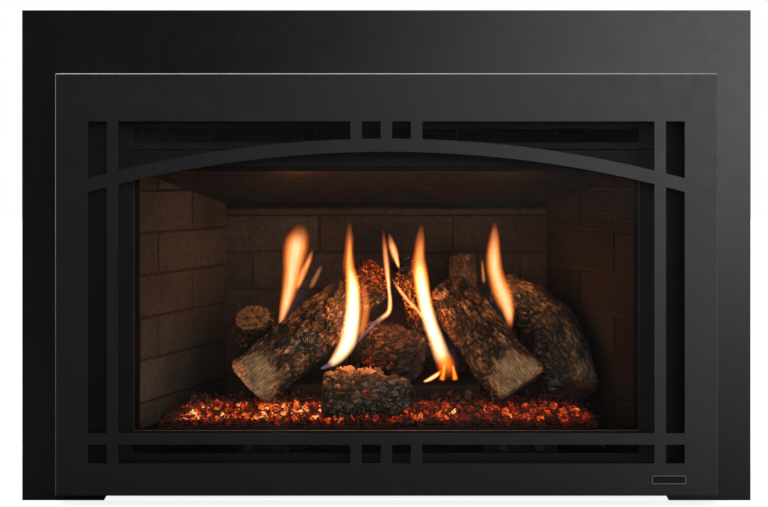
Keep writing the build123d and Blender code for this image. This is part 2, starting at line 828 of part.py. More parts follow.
# ---------------------------------------------------------------- venting
rearOfBox = boxBackDepth + sheet
boxRear = bodyDepth - sheet - fitGap
ventBoxes = {
    "exhaust_duct": (-collarSpread, exhaustLow, exhaustHigh),
    "intake_duct": (collarSpread, intakeLow, intakeHigh),
}
for name, (x, low, high) in ventBoxes.items():
    with BuildPart() as duct:
        block(x - ventBoxHalf, x + ventBoxHalf, rearOfBox, boxRear, low, high)
        rod((x, collarDepth, high), up, ductRadius, shellTop + sheet - high)
        rod((x, collarDepth, shellTop + sheet), up, collarRadius, collarTop - shellTop - sheet)
        with Locations((x, deep(collarDepth), shellTop + sheet + collarFoot / 2)):
            Cone(collarRadius + collarFoot, collarRadius, collarFoot)
        hollow = ventBoxHalf - sheet
        block(x - hollow, x + hollow, rearOfBox, boxRear - sheet, low + sheet, high - sheet, Mode.SUBTRACT)
        bore = ductRadius - ductWall
        rod((x, collarDepth, high - sheet), up, bore, collarTop - high + sheet, Mode.SUBTRACT)
    keep(name, duct.part)

# ---------------------------------------------------------------- blower
with BuildPart() as blower_motor:
    rod((-motorHalf, blowerDepth, blowerHeight), right, motorRadius, 2 * motorHalf)
    block(-motorHalf / 2, motorHalf / 2, blowerDepth - shaftRadius, blowerDepth + shaftRadius, baseTop,
          blowerHeight)
    rod((-motorHalf, blowerDepth, blowerHeight), right, shaftRadius + runGap, 2 * motorHalf, Mode.SUBTRACT)
keep("blower_motor", blower_motor.part)

with BuildPart() as blower_rotor:
    for side in (-1, 1):
        start = min(side * rotorStart, side * (rotorStart + rotorLength))
        rod((start, blowerDepth, blowerHeight), right, rotorRadius, rotorLength)
        hollow = start if side < 0 else start + rotorWall
        rod((hollow, blowerDepth, blowerHeight), right, rotorRadius - rotorWall, rotorLength - rotorWall,
            Mode.SUBTRACT)
    shaftHalf = rotorStart + rotorLength
    rod((-shaftHalf, blowerDepth, blowerHeight), right, shaftRadius, 2 * shaftHalf)
keep("blower_rotor", blower_rotor.part)

with BuildPart() as blower_housings:
    for side in (-1, 1):
        start = min(side * scrollStart, side * (scrollStart + scrollLength))
        rod((start, blowerDepth, blowerHeight), right, scrollRadius, scrollLength)
        rod((start, blowerDepth, blowerHeight), right, scrollRadius - scrollWall, scrollLength, Mode.SUBTRACT)
        block(start, start + scrollLength, blowerDepth - scrollMouth / 2, blowerDepth + scrollMouth / 2,
              blowerHeight, blowerHeight + scrollRadius, Mode.SUBTRACT)
        block(start, start + scrollLength, blowerDepth - scrollFootDeep / 2, blowerDepth + scrollFootDeep / 2,
              baseTop, blowerHeight - scrollRadius + scrollFootLap)
keep("blower_housings", blower_housings.part)

# ---------------------------------------------------------------- gas valve and controls
spindleLength = valveFront - knobFront - (knobLength - knobBoreDepth) - spindleEndGap
with BuildPart() as gas_valve:
    block(valveLeft, valveRight, valveFront, valveRear, valveLow, valveHigh)
    valveMiddle = (valveLeft + valveRight) / 2
    block(valveMiddle - valveFootHalf, valveMiddle + valveFootHalf, valveFront, valveRear, baseTop, valveLow)
    for x in (valveKnobX, flameKnobX):
        rod((x, valveFront, knobHeight), forward, spindleRadius, spindleLength)
keep("gas_valve", gas_valve.part)

with BuildPart() as control_box:
    block(controlLeft, controlRight, controlFront, controlRear, baseTop, controlHigh)
    speedSpindle = spindleLength - valveFront + controlFront
    rod((speedKnobX, controlFront, knobHeight), forward, spindleRadius, speedSpindle)
    pocketHalf = rockerWidth / 2 + fitGap
    pocketRise = rockerHeight / 2 + rockerSwing
    block(rockerX - pocketHalf, rockerX + pocketHalf, controlFront, controlFront + rockerDepth + rockerSwing,
          knobHeight - pocketRise, knobHeight + pocketRise, Mode.SUBTRACT)
    pivotDepth = controlFront + rockerDepth / 2
    rod((rockerX - rockerWidth, pivotDepth, knobHeight), right, rockerPinRadius + runGap, 2 * rockerWidth,
        Mode.SUBTRACT)
keep("control_box", control_box.part)

with BuildPart() as rocker_switch:
    block(rockerX - rockerWidth / 2, rockerX + rockerWidth / 2, controlFront - rockerProud,
          controlFront + rockerDepth - rockerProud, knobHeight - rockerHeight / 2,
          knobHeight + rockerHeight / 2)
    with BuildSketch(profile(rockerX - rockerWidth / 2)):
        dishDepth = deep(controlFront - rockerProud)
        polygon([(dishDepth, knobHeight - rockerHeight / 2), (dishDepth, knobHeight + rockerHeight / 2),
                 (dishDepth + rockerProud / 2, knobHeight)])
    extrude(amount=rockerWidth, mode=Mode.SUBTRACT)
    rod((rockerX - rockerWidth, pivotDepth, knobHeight), right, rockerPinRadius, 2 * rockerWidth)
keep("rocker_switch", rocker_switch.part)

knobPlaces = {"valve_knob": valveKnobX, "flame_knob": flameKnobX, "speed_knob": speedKnobX}
for name, x in knobPlaces.items():
    with BuildPart() as knob:
        rod((x, knobFront + knobLength, knobHeight), forward, knobRadius, knobLength)
        chamfer(knob.faces().sort_by(Axis.Y)[0].edges(), length=gripWidth / 3)
        block(x - gripWidth / 2, x + gripWidth / 2, knobFront - gripRise, knobFront,
              knobHeight - knobRadius / 2, knobHeight + knobRadius - gripWidth / 3)
        knobRear = (x, knobFront + knobLength, knobHeight)
        rod(knobRear, forward, spindleRadius + runGap, knobBoreDepth, Mode.SUBTRACT)
    keep(name, knob.part)

with BuildPart() as gas_inlet_pipe:
    nippleInner = bodyDepth - nippleLength
    rod((inletX, bodyDepth, inletHeight), forward, nippleRadius, nippleLength)
    with BuildLine():
        FilletPolyline(
            (inletX, deep(nippleInner), inletHeight),
            (inletX, deep(inletPipeBack), inletHeight),
            (valveMiddle, deep(inletPipeJog), inletHeight),
            (valveMiddle, deep(valveRear), inletHeight),
            radius=inletPipeTurn,
        )
    with BuildSketch(panel(nippleInner)):
        with Locations((inletX, inletHeight)):
            Circle(pipeRadius)
    sweep()
    rod((inletX, bodyDepth, inletHeight), forward, nippleBore, nippleLength - pipeRadius, Mode.SUBTRACT)
keep("gas_inlet_pipe", gas_inlet_pipe.part)

with BuildPart() as burner_pipe:
    portDepth = valveRear - valvePortInset
    with BuildLine():
        FilletPolyline(
            (valveRight, deep(portDepth), inletHeight),
            (burnerPipeX, deep(portDepth), inletHeight),
            (burnerPipeX, deep(burnerPipeDepth), inletHeight),
            (burnerPipeX, deep(burnerPipeDepth), burnerPipeTop),
            radius=burnerPipeTurn,
        )
    with BuildSketch(profile(valveRight)):
        with Locations((deep(portDepth), inletHeight)):
            Circle(pipeRadius)
    sweep()
keep("burner_pipe", burner_pipe.part)

# ---------------------------------------------------------------- glass latches
for side, name in ((-1, "latch_left"), (1, "latch_right")):
    with BuildPart() as latch:
        with BuildSketch(profile(side * latchX - latchThick / 2)):
            with Locations((deep(latchPivotDepth), latchPivotHeight)):
                Circle(latchBoss)
            armLow = latchPivotHeight - latchArm / 2
            patch(deep(latchFingerFront), deep(latchPivotDepth), armLow, armLow + latchArm)
            patch(deep(latchFingerFront), deep(latchFingerFront + latchFingerThick), armLow, latchFingerHigh)
        extrude(amount=latchThick)
        pinHalf = latchThick / 2 + latchEarGap + 2 * sheet
        rod((side * latchX - pinHalf, latchPivotDepth, latchPivotHeight), right, latchPinRadius, 2 * pinHalf)
    keep(name, latch.part)
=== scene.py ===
import bpy
import bmesh
import math
import random
from mathutils import Matrix, Vector, noise


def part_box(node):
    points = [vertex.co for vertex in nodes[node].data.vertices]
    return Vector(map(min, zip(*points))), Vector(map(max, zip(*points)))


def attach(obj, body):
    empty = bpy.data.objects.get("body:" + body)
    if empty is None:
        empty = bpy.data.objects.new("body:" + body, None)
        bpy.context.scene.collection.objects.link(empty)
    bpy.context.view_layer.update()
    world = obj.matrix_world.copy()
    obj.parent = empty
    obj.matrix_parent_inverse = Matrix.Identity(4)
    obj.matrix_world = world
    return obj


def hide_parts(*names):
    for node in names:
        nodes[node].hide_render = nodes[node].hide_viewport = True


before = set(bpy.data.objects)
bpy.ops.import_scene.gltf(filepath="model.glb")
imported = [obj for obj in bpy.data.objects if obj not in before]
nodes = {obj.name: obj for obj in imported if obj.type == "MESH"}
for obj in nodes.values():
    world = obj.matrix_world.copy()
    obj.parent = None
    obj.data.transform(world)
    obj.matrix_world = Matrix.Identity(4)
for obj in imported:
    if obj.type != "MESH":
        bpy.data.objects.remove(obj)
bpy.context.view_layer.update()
mm = 0.001
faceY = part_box("front_panel")[0][1]  # the decorative front's outer face; depths count back from it


def at(x, depth, z):
    return Vector((x * mm, faceY + depth * mm, z * mm))


def smoothStep(low, high, value):
    share = min(1.0, max(0.0, (value - low) / (high - low)))
    return share * share * (3 - 2 * share)


# camera, square to the front, as far off as the photo's perspective says
shot = {"distance": 2.159, "height": 0.4965, "lens": 67.47, "sensor": 36, "shiftX": -0.0031,
        "shiftY": -0.1022, "clearLayers": 64}  # flame skins, glass and mesh lie one behind another
camera = bpy.data.objects.new("camera", bpy.data.cameras.new("camera"))
camera.data.sensor_width = shot["sensor"]
camera.data.lens = shot["lens"]
camera.data.shift_x = shot["shiftX"]
camera.data.shift_y = shot["shiftY"]
camera.location = (0, faceY - shot["distance"], shot["height"])
camera.rotation_euler = (math.pi / 2, 0, 0)
bpy.context.collection.objects.link(camera)
bpy.context.scene.camera = camera
bpy.context.scene.view_settings.view_transform = "Standard"
bpy.context.scene.cycles.transparent_max_bounces = shot["clearLayers"]
print("camera set")


# node helpers; a value that is a socket is linked, any other is set
def setInputs(tree, node, inputs):
    for key, value in inputs.items():
        if isinstance(value, bpy.types.NodeSocket):
            tree.links.new(value, node.inputs[key])
        else:
            node.inputs[key].default_value = value


def addNode(tree, kind, settings=None, inputs=None):
    node = tree.nodes.new("ShaderNode" + kind)
    for key, value in (settings or {}).items():
        setattr(node, key, value)
    setInputs(tree, node, inputs or {})
    return node


def addCoords(tree):
    return addNode(tree, "TexCoord").outputs["Object"]


def addMath(tree, operation, *values):
    return addNode(tree, "Math", {"operation": operation}, dict(enumerate(values))).outputs[0]


def addAxis(tree, coords, axis):
    return addNode(tree, "SeparateXYZ", inputs={0: coords}).outputs[axis]


def addStretch(tree, coords, scale):
    return addNode(tree, "Mapping", inputs={"Vector": coords, "Scale": scale}).outputs[0]


def addRamp(tree, factor, stops):
    ramp = addNode(tree, "ValToRGB", inputs={"Fac": factor})
    ends = ramp.color_ramp.elements
    for element, (place, colour) in ((ends[0], stops[0]), (ends[1], stops[-1])):
        element.position = place
        element.color = (*colour, 1)
    for place, colour in stops[1:-1]:
        ends.new(place).color = (*colour, 1)
    return ramp.outputs["Color"]


def addNoise(tree, coords, scale, detail=3, rough=0.55):
    inputs = {"Vector": coords, "Scale": scale, "Detail": detail, "Roughness": rough}
    return addNode(tree, "TexNoise", inputs=inputs).outputs["Fac"]


def addRange(tree, value, low, high, fromLow=0.3, fromHigh=0.7):
    return addNode(tree, "MapRange", inputs={"Value": value, "From Min": fromLow, "From Max": fromHigh,
                                             "To Min": low, "To Max": high}).outputs["Result"]


def addBlend(tree, factor, first, second, blend="MIX"):
    mix = addNode(tree, "MixRGB", {"blend_type": blend}, {"Fac": factor, "Color1": first, "Color2": second})
    return mix.outputs["Color"]


def addMark(tree, name):
    return addNode(tree, "Attribute", {"attribute_name": name}).outputs["Fac"]


def addBump(tree, height, distance, strength=1.0):
    inputs = {"Height": height, "Distance": distance, "Strength": strength}
    return addNode(tree, "Bump", inputs=inputs).outputs["Normal"]


def addSurface(tree, shader, kind="Material"):
    addNode(tree, "Output" + kind, inputs={"Surface": shader.outputs[0]})


def startTree(owner):
    owner.use_nodes = True
    owner.node_tree.nodes.clear()
    return owner.node_tree


def startFinish(name):
    finish = bpy.data.materials.new(name)
    tree = startTree(finish)
    shader = addNode(tree, "BsdfPrincipled")
    addSurface(tree, shader)
    return finish, tree, shader, addCoords(tree)


def grey(tone):
    return (tone, tone, tone)


# sheet metal and plastic: two tones of mottle, a roughness range, and a stain on what gets hot; mottle, wear,
# stains and grain count waves in a metre, and height is the grain's in metres
sheetDefaults = {"metal": 0.0, "specular": 0.5, "mottle": 7, "wear": 45, "stains": 11, "grain": 900,
                 "height": 0.00008}
sheetLooks = {
    "frontBlack": {"dark": (0.013, 0.013, 0.0135), "light": (0.017, 0.017, 0.0175), "rough": (0.3, 0.36),
                   "specular": 1.0},
    "surroundBlack": {"dark": grey(0.0035), "light": grey(0.0055), "rough": (0.2, 0.26), "specular": 1.0},
    "innerBlack": {"dark": grey(0.005), "light": grey(0.009), "rough": (0.5, 0.62), "specular": 0.4},
    "netBlack": {"dark": grey(0.1), "light": grey(0.15), "rough": (0.45, 0.6)},
    "hoodSteel": {"dark": grey(0.007), "light": (0.013, 0.012, 0.012), "rough": (0.32, 0.45), "metal": 0.4,
                  "stain": (0.024, 0.009, 0.006), "mottle": 14},
    "boxSteel": {"dark": (0.02, 0.018, 0.017), "light": (0.045, 0.04, 0.038), "rough": (0.45, 0.65),
                 "metal": 0.6, "stain": (0.035, 0.022, 0.016)},
    "burnerSteel": {"dark": (0.006, 0.005, 0.0045), "light": (0.02, 0.014, 0.011), "rough": (0.4, 0.6),
                    "metal": 0.7, "stain": (0.035, 0.014, 0.008), "mottle": 25},
    "coatedSteel": {"dark": (0.25, 0.255, 0.26), "light": (0.4, 0.405, 0.41), "rough": (0.42, 0.58),
                    "metal": 0.8, "mottle": 60, "grain": 400},
    "latchSteel": {"dark": grey(0.008), "light": grey(0.015), "rough": (0.4, 0.55), "mottle": 50},
    "zincPlate": {"dark": (0.42, 0.42, 0.4), "light": (0.62, 0.61, 0.57), "rough": (0.25, 0.4), "metal": 1.0,
                  "mottle": 30},
    "castAlloy": {"dark": grey(0.3), "light": (0.42, 0.42, 0.41), "rough": (0.45, 0.6), "metal": 0.8,
                  "mottle": 60, "grain": 500, "height": 0.00025},
    "motorPaint": {"dark": (0.018, 0.018, 0.02), "light": (0.03, 0.03, 0.033), "rough": (0.35, 0.5),
                   "mottle": 40},
    "knobPlastic": {"dark": grey(0.012), "light": grey(0.02), "rough": (0.38, 0.5), "mottle": 60,
                    "grain": 1500},
    "pipeBrass": {"dark": (0.09, 0.06, 0.025), "light": (0.16, 0.11, 0.05), "rough": (0.38, 0.5),
                  "metal": 1.0, "mottle": 40},
    "ropeGasket": {"dark": (0.3, 0.29, 0.27), "light": (0.5, 0.48, 0.44), "rough": (0.85, 0.95),
                   "mottle": 300, "grain": 1200, "height": 0.0006, "specular": 0.2},
}


def sheetFinish(name, look):
    look = {**sheetDefaults, **look}
    finish, tree, shader, coords = startFinish(name)
    mottle = addNoise(tree, coords, look["mottle"], 5)
    tone = addRamp(tree, mottle, [(0.3, look["dark"]), (0.7, look["light"])])
    if "stain" in look:
        patches = addRange(tree, addNoise(tree, coords, look["stains"], 4), 0, 1, 0.48, 0.62)
        tone = addBlend(tree, patches, tone, (*look["stain"], 1))
    setInputs(tree, shader, {
        "Base Color": tone, "Metallic": look["metal"], "Specular IOR Level": look["specular"],
        "Roughness": addRange(tree, addNoise(tree, coords, look["wear"]), *look["rough"]),
        "Normal": addBump(tree, addNoise(tree, coords, look["grain"], 2), look["height"])})
    return finish


finishes = {name: sheetFinish(name, look) for name, look in sheetLooks.items()}


def paintOver(finish, factor, colour):
    tree = finish.node_tree
    base = tree.nodes["Principled BSDF"].inputs["Base Color"]
    tree.links.new(addBlend(tree, factor, base.links[0].from_socket, colour), base)


# a painted highlight on the front's folded edges, in place of light glinting off the fold, strongest along
# the top and left;
# widths in millimetres, full is the share of a width from which an edge has its whole strength
edgeHighlightLook = {"colour": (0.62, 0.61, 0.6, 1), "full": 0.35, "edges": [
    {"axis": "X", "side": 0, "width": 1.7, "strength": 0.9},
    {"axis": "Z", "side": 1, "width": 1.7, "strength": 0.9},
    {"axis": "X", "side": 1, "width": 1.2, "strength": 0.25},
]}


def paintEdgeHighlight(finish, corners):
    tree = finish.node_tree
    coords = addCoords(tree)
    edgeHighlight = 0.0
    for edge in edgeHighlightLook["edges"]:
        outer = corners[edge["side"]]["XYZ".index(edge["axis"])]
        inward = edge["width"] * mm * (-1 if edge["side"] else 1)
        band = addRange(tree, addAxis(tree, coords, edge["axis"]), 0, edge["strength"],
                        outer + inward, outer + inward * edgeHighlightLook["full"])
        edgeHighlight = addMath(tree, "MAXIMUM", edgeHighlight, band)
    # the painted highlight goes into the base colour and makes the edge metallic
    paintOver(finish, edgeHighlight, edgeHighlightLook["colour"])
    tree.links.new(edgeHighlight, tree.nodes["Principled BSDF"].inputs["Metallic"])


paintEdgeHighlight(finishes["frontBlack"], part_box("front_panel"))

# painted shade: the inner side of a sheet, and the part of a duct inside the casing, is painted dark where
# little light reaches it;
# it lies below the upper bound of a node on an axis, less a depth, and blends over a width in millimetres
insideShadeTone = (*grey(0.018), 1)
insideShadeLooks = {
    "backSteel": {"node": "shell_back", "axis": "Y", "depth": 0.2, "width": 0.4},
    "topSteel": {"node": "shell_top", "axis": "Z", "depth": 0.2, "width": 0.4},
    "ductSteel": {"node": "shell_top", "axis": "Z", "depth": 0.0, "width": 1.0},
}


def insideShadeFinish(name, look):
    finish = sheetFinish(name, sheetLooks["coatedSteel"])
    tree = finish.node_tree
    place = addAxis(tree, addCoords(tree), look["axis"])
    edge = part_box(look["node"])[1]["XYZ".index(look["axis"])] - look["depth"] * mm
    # paints the shade over the finish's own tone
    paintOver(finish, addRange(tree, place, 1, 0, edge - look["width"] * mm, edge), insideShadeTone)
    return finish


for finishName, look in insideShadeLooks.items():
    finishes[finishName] = insideShadeFinish(finishName, look)

glassLook = {"clear": (0.93, 0.92, 0.9, 1), "gloss": (*grey(0.12), 1), "hazeScale": 18, "haze": (0.02, 0.05),
             "bend": 1.45}


def clearGlass():
    finish = bpy.data.materials.new("clearGlass")
    tree = startTree(finish)
    haze = addRange(tree, addNoise(tree, addCoords(tree), glassLook["hazeScale"], 4), *glassLook["haze"])
    clear = addNode(tree, "BsdfTransparent", inputs={"Color": glassLook["clear"]})
    gloss = addNode(tree, "BsdfGlossy", inputs={"Roughness": haze, "Color": glassLook["gloss"]})
    outward = addMath(tree, "SUBTRACT", 1, addNode(tree, "NewGeometry").outputs["Backfacing"])
    mirror = addNode(tree, "Fresnel", inputs={"IOR": glassLook["bend"]}).outputs[0]
    edge = addMath(tree, "MULTIPLY", mirror, outward)
    addSurface(tree, addNode(tree, "MixShader", inputs={0: edge, 1: clear.outputs[0], 2: gloss.outputs[0]}))
    return finish


finishes["clearGlass"] = clearGlass()
print("sheet and glass finishes made")

# which finish each CAD node that stays takes
nodeFinish = {
    "frontBlack": "front_panel",
    "surroundBlack": "surround_panel",
    "latchSteel": "latch_left latch_right",
    "innerBlack": "screen_frame front_hooks glass_frame control_box "
                  "face_header face_sill face_left face_right",
    "hoodSteel": "firebox_hood",
    "boxSteel": "firebox_top firebox_back firebox_left firebox_right",
    "burnerSteel": "firebox_flange firebox_floor burner_box log_pins pilot_assembly",
    "coatedSteel": "base_pan shell_left shell_right blower_housings",
    "backSteel": "shell_back",
    "topSteel": "shell_top",
    "ductSteel": "exhaust_duct intake_duct",
    "zincPlate": "hanger_pegs surround_brackets bracket_screws blower_rotor foot_left foot_right",
    "castAlloy": "gas_inlet_pipe",
    "motorPaint": "blower_motor gas_valve",
    "knobPlastic": "valve_knob flame_knob speed_knob rocker_switch",
    "pipeBrass": "burner_pipe",
    "ropeGasket": "glass_gasket",
    "clearGlass": "glass_pane",
}
for finishName, names in nodeFinish.items():
    for name in names.split():
        slots = nodes[name].data.materials
        slots.clear()
        slots.append(finishes[finishName])
print("CAD nodes dressed")


# turns a bmesh into a piece; marks are values per point that its material reads
def finishPiece(name, bm, finish, body, marks=None, smooth=True):
    mesh = bpy.data.meshes.new(name)
    bm.normal_update()
    bm.to_mesh(mesh)
    bm.free()
    mesh.materials.append(finish)
    if smooth:
        mesh.shade_smooth()
    for mark, values in (marks or {}).items():
        kind = "FLOAT_VECTOR" if isinstance(values[0], Vector) else "FLOAT"
        layer = mesh.attributes.new(mark, kind, "POINT")
        if kind == "FLOAT":
            layer.data.foreach_set("value", values)
        else:
            layer.data.foreach_set("vector", [part for value in values for part in value])
    piece = bpy.data.objects.new(name, mesh)
    bpy.context.collection.objects.link(piece)
    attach(piece, body)
    return piece


# the woven screen behind the front's windows, in millimetres
screenNet = {"pitch": 3.0, "wire": 0.13, "sides": 6}


def makeScreenNet():
    low, high = [Vector(corner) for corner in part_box("screen_mesh")]
    radius = screenNet["wire"] / 2 * mm
    bm = bmesh.new()
    for axis, across in ((2, 0), (0, 2)):  # upright wires in front, level wires just behind
        count = round((high[across] - low[across]) / (screenNet["pitch"] * mm))
        turn = Matrix() if axis == 2 else Matrix.Rotation(math.pi / 2, 4, "Y")
        y = low.y + radius if axis == 2 else high.y - radius
        for index in range(count):
            place = (low + high) / 2
            place[across] = low[across] + (index + 0.5) * (high[across] - low[across]) / count
            place.y = y
            bmesh.ops.create_cone(bm, cap_ends=True, segments=screenNet["sides"], radius1=radius,
                                  radius2=radius, depth=high[axis] - low[axis],
                                  matrix=Matrix.Translation(place) @ turn)
    piece = finishPiece("screen_net", bm, finishes["netBlack"], "decor_front")
    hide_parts("screen_mesh")


makeScreenNet()
print("screen net made")

# the small plate at the lower right, bare, with a bright rim round a sunk dark field, in millimetres
plate = {"corner": 1.2, "rim": 1.1, "step": 0.2, "sunk": 0.35, "mottle": 60, "wear": 400,
         "rough": (0.25, 0.4), "field": [(0.3, grey(0.006)), (0.7, grey(0.012))],
         "nickel": (0.45, 0.45, 0.46, 1)}


def plateFinish():
    finish, tree, shader, coords = startFinish("plateNickel")
    field = addRamp(tree, addNoise(tree, coords, plate["mottle"]), plate["field"])
    rim = addMark(tree, "rim")
    setInputs(tree, shader, {
        "Base Color": addBlend(tree, rim, field, plate["nickel"]), "Metallic": rim,
        "Roughness": addRange(tree, addNoise(tree, coords, plate["wear"]), *plate["rough"])})
    return finish


def makePlate():
    low, high = [Vector(corner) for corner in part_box("name_plate")]
    bm = bmesh.new()
    place = Matrix.Translation((low + high) / 2) @ Matrix.Diagonal((*(high - low), 1))
    bmesh.ops.create_cube(bm, size=1, matrix=place)
    corners = [e for e in bm.edges if abs(e.verts[0].co.y - e.verts[1].co.y) > mm]
    bmesh.ops.bevel(bm, geom=corners, offset=plate["corner"] * mm, segments=4, profile=0.5, affect="EDGES",
                    material=-1)
    face = min(bm.faces, key=lambda f: f.calc_center_median().y)
    bmesh.ops.inset_individual(bm, faces=[face], thickness=plate["rim"] * mm)
    bmesh.ops.inset_individual(bm, faces=[face], thickness=plate["step"] * mm, depth=-plate["sunk"] * mm)
    rim = [1.0 if v.co.y < low.y + plate["sunk"] / 2 * mm else 0.0 for v in bm.verts]
    piece = finishPiece("bare_plate", bm, plateFinish(), "decor_front", {"rim": rim}, smooth=False)
    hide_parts("name_plate")


makePlate()
print("plate made")

# moulded brick panels, in millimetres; a wall runs from start to end, each an x and a depth, its lines are
# the heights of its level joints, and even and odd say where a row's upright joints start
brickLook = {"length": 233.5, "joint": 3.6, "recess": 3.5, "edge": 2.2, "thick": 20.0, "wander": 0.7,
             "skew": 0.4, "least": 12, "inset": 1, "shades": 0.38, "mortar": 0.62}
brickTones = {  # grain, patches and pits are noises: waves in a metre, detail and roughness
    "body": [(0.25, (0.029, 0.028, 0.027)), (0.55, (0.069, 0.067, 0.065)), (0.8, (0.117, 0.113, 0.11))],
    "shaded": (0.016, 0.009, 0.007, 1), "sooted": (0.02, 0.014, 0.012, 1), "rough": 0.88, "specular": 0.25,
    "grain": (130, 6, 0.7), "patches": (9, 4), "pits": (260, 5, 0.7), "pitDepth": 1.6 * mm,
}
hoodLine = ((54.8, 502), (350, 444.5))  # the hood's underside, depth and height at its front and rear
backLines = [101.5 + 65.2 * row for row in range(6)] + [440.7]
sideLines = [101.5] + [143 + 66 * row for row in range(6)] + [505]
brickWalls = {
    "brick_back": {"start": (-298, 350), "end": (298, 350), "lines": backLines, "even": 181.25, "odd": 298},
    "brick_left": {"start": (-381.7, 54.8), "end": (-277, 350), "lines": sideLines, "even": 66, "odd": 182},
    # the right wall's soot value is painted shade: it darkens every brick of that wall
    "brick_right": {"start": (277, 350), "end": (381.7, 54.8), "lines": sideLines, "even": 14, "odd": 131,
                    "soot": 0.8},
}


def brickFinish():
    finish, tree, shader, coords = startFinish("firebrick")
    body = addRamp(tree, addNoise(tree, coords, *brickTones["grain"]), brickTones["body"])
    shaded = addBlend(tree, addMark(tree, "tone"), body, brickTones["shaded"])
    soot = addRange(tree, addNoise(tree, coords, *brickTones["patches"]), 0, 0.6, 0.5, 0.7)
    setInputs(tree, shader, {
        "Base Color": addBlend(tree, soot, shaded, brickTones["sooted"]), "Roughness": brickTones["rough"],
        "Specular IOR Level": brickTones["specular"],
        "Normal": addBump(tree, addNoise(tree, coords, *brickTones["pits"]), brickTones["pitDepth"], 0.8)})
    return finish


def addBrick(bm, basis, middle, size):
    place = Matrix.Translation(middle) @ basis @ Matrix.Diagonal((*[s * mm for s in size], 1))
    return bmesh.ops.create_cube(bm, size=1, matrix=place)["verts"]


def makeBrickWall(name, wall, finish):
    random.seed(name)
    start, end = [at(x, depth, 0) for x, depth in (wall["start"], wall["end"])]
    along = (end - start).normalized()
    inward = along.cross(Vector((0, 0, 1)))
    basis = Matrix((along, inward, (0, 0, 1))).transposed().to_4x4()
    length = (end - start).length / mm
    lines = wall["lines"]
    thick, joint, recess, skew, least, inset = [
        brickLook[key] for key in ("thick", "joint", "recess", "skew", "least", "inset")]
    bm = bmesh.new()
    layer = bm.verts.layers.float.new("tone")
    for row, (low, high) in enumerate(zip(lines, lines[1:])):
        first = wall["even"] if row % 2 == 0 else wall["odd"]
        cuts = [first + step * brickLook["length"] for step in range(-3, 4)]
        cuts = [0] + [cut for cut in cuts if least < cut < length - least] + [length]
        for left, right in zip(cuts, cuts[1:]):
            push = random.uniform(-brickLook["wander"], 0) * mm - thick / 2 * mm
            middle = start + along * ((left + right) / 2 * mm) + inward * push
            middle.z += (low + high) / 2 * mm
            made = addBrick(bm, basis, middle, (right - left - joint, thick, high - low - joint))
            # a wall's soot value adds painted shade to each brick; the random part is the brick's own tone
            shade = wall.get("soot", 0.0) + random.uniform(0, brickLook["shades"])
            for vert in made:
                vert.co += along * random.uniform(-skew, skew) * mm
                vert.co.z += random.uniform(-skew, skew) * mm
                vert[layer] = shade
    bmesh.ops.bevel(bm, geom=list(bm.edges), offset=brickLook["edge"] * mm, segments=3, profile=0.5,
                    affect="EDGES", material=-1)
    middle = (start + end) / 2 - inward * ((thick + recess) / 2 * mm)
    middle.z = (lines[0] + lines[-1]) / 2 * mm
    mortarBed = addBrick(bm, basis, middle, (length - inset, thick - recess, lines[-1] - lines[0] - inset))
    for vert in mortarBed:  # it shows between the bricks
        vert[layer] = brickLook["mortar"]
    if name != "brick_back":  # the sloping hood lies on the side panels
        front, rear = [at(0, depth, z) for depth, z in hoodLine]
        everything = list(bm.verts) + list(bm.edges) + list(bm.faces)
        cut = bmesh.ops.bisect_plane(bm, geom=everything, plane_co=front,
                                     plane_no=Vector((1, 0, 0)).cross(rear - front), clear_outer=True)
        rims = [e for e in cut["geom_cut"] if isinstance(e, bmesh.types.BMEdge)]
        bmesh.ops.holes_fill(bm, edges=rims, sides=0)
    piece = finishPiece(name + "_course", bm, finish, "appliance", smooth=False)
    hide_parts(name)


firebrick = brickFinish()
for wallName, wall in brickWalls.items():
    makeBrickWall(wallName, wall, firebrick)
print("brick panels made")


# a smooth line through rows of numbers, for logs and flames
def alongRows(rows, share):
    place = share * (len(rows) - 1)
    index = min(int(place), len(rows) - 2)
    t = place - index
    before, here = rows[max(index - 1, 0)], rows[index]
    after, beyond = rows[index + 1], rows[min(index + 2, len(rows) - 1)]
    result = []
    for a, b, c, d in zip(before, here, after, beyond):
        result.append(b + 0.5 * t * (c - a + t * (2 * a - 5 * b + 4 * c - d + t * (3 * (b - c) + d - a))))
    return result


# the middle, the three directions and the radius at a share of the line
def sectionAt(rows, share, reach=0.01):
    x, depth, z, radius = alongRows(rows, share)
    before = alongRows(rows, max(share - reach, 0))
    after = alongRows(rows, min(share + reach, 1))
    run = (at(*after[:3]) - at(*before[:3])).normalized()
    side = run.cross(Vector((0, 1, 0))).normalized()
    return at(x, depth, z), run, side, side.cross(run), radius * mm


# a rod one metre long, cut into rings; what a bmesh holds already has no edge half as long
def addRod(bm, sides, cuts):
    bmesh.ops.create_cone(bm, cap_ends=True, segments=sides, radius1=1, radius2=1, depth=1)
    runs = [e for e in bm.edges if abs(e.verts[0].co.z - e.verts[1].co.z) > 0.5]
    bmesh.ops.subdivide_edges(bm, edges=runs, cuts=cuts)


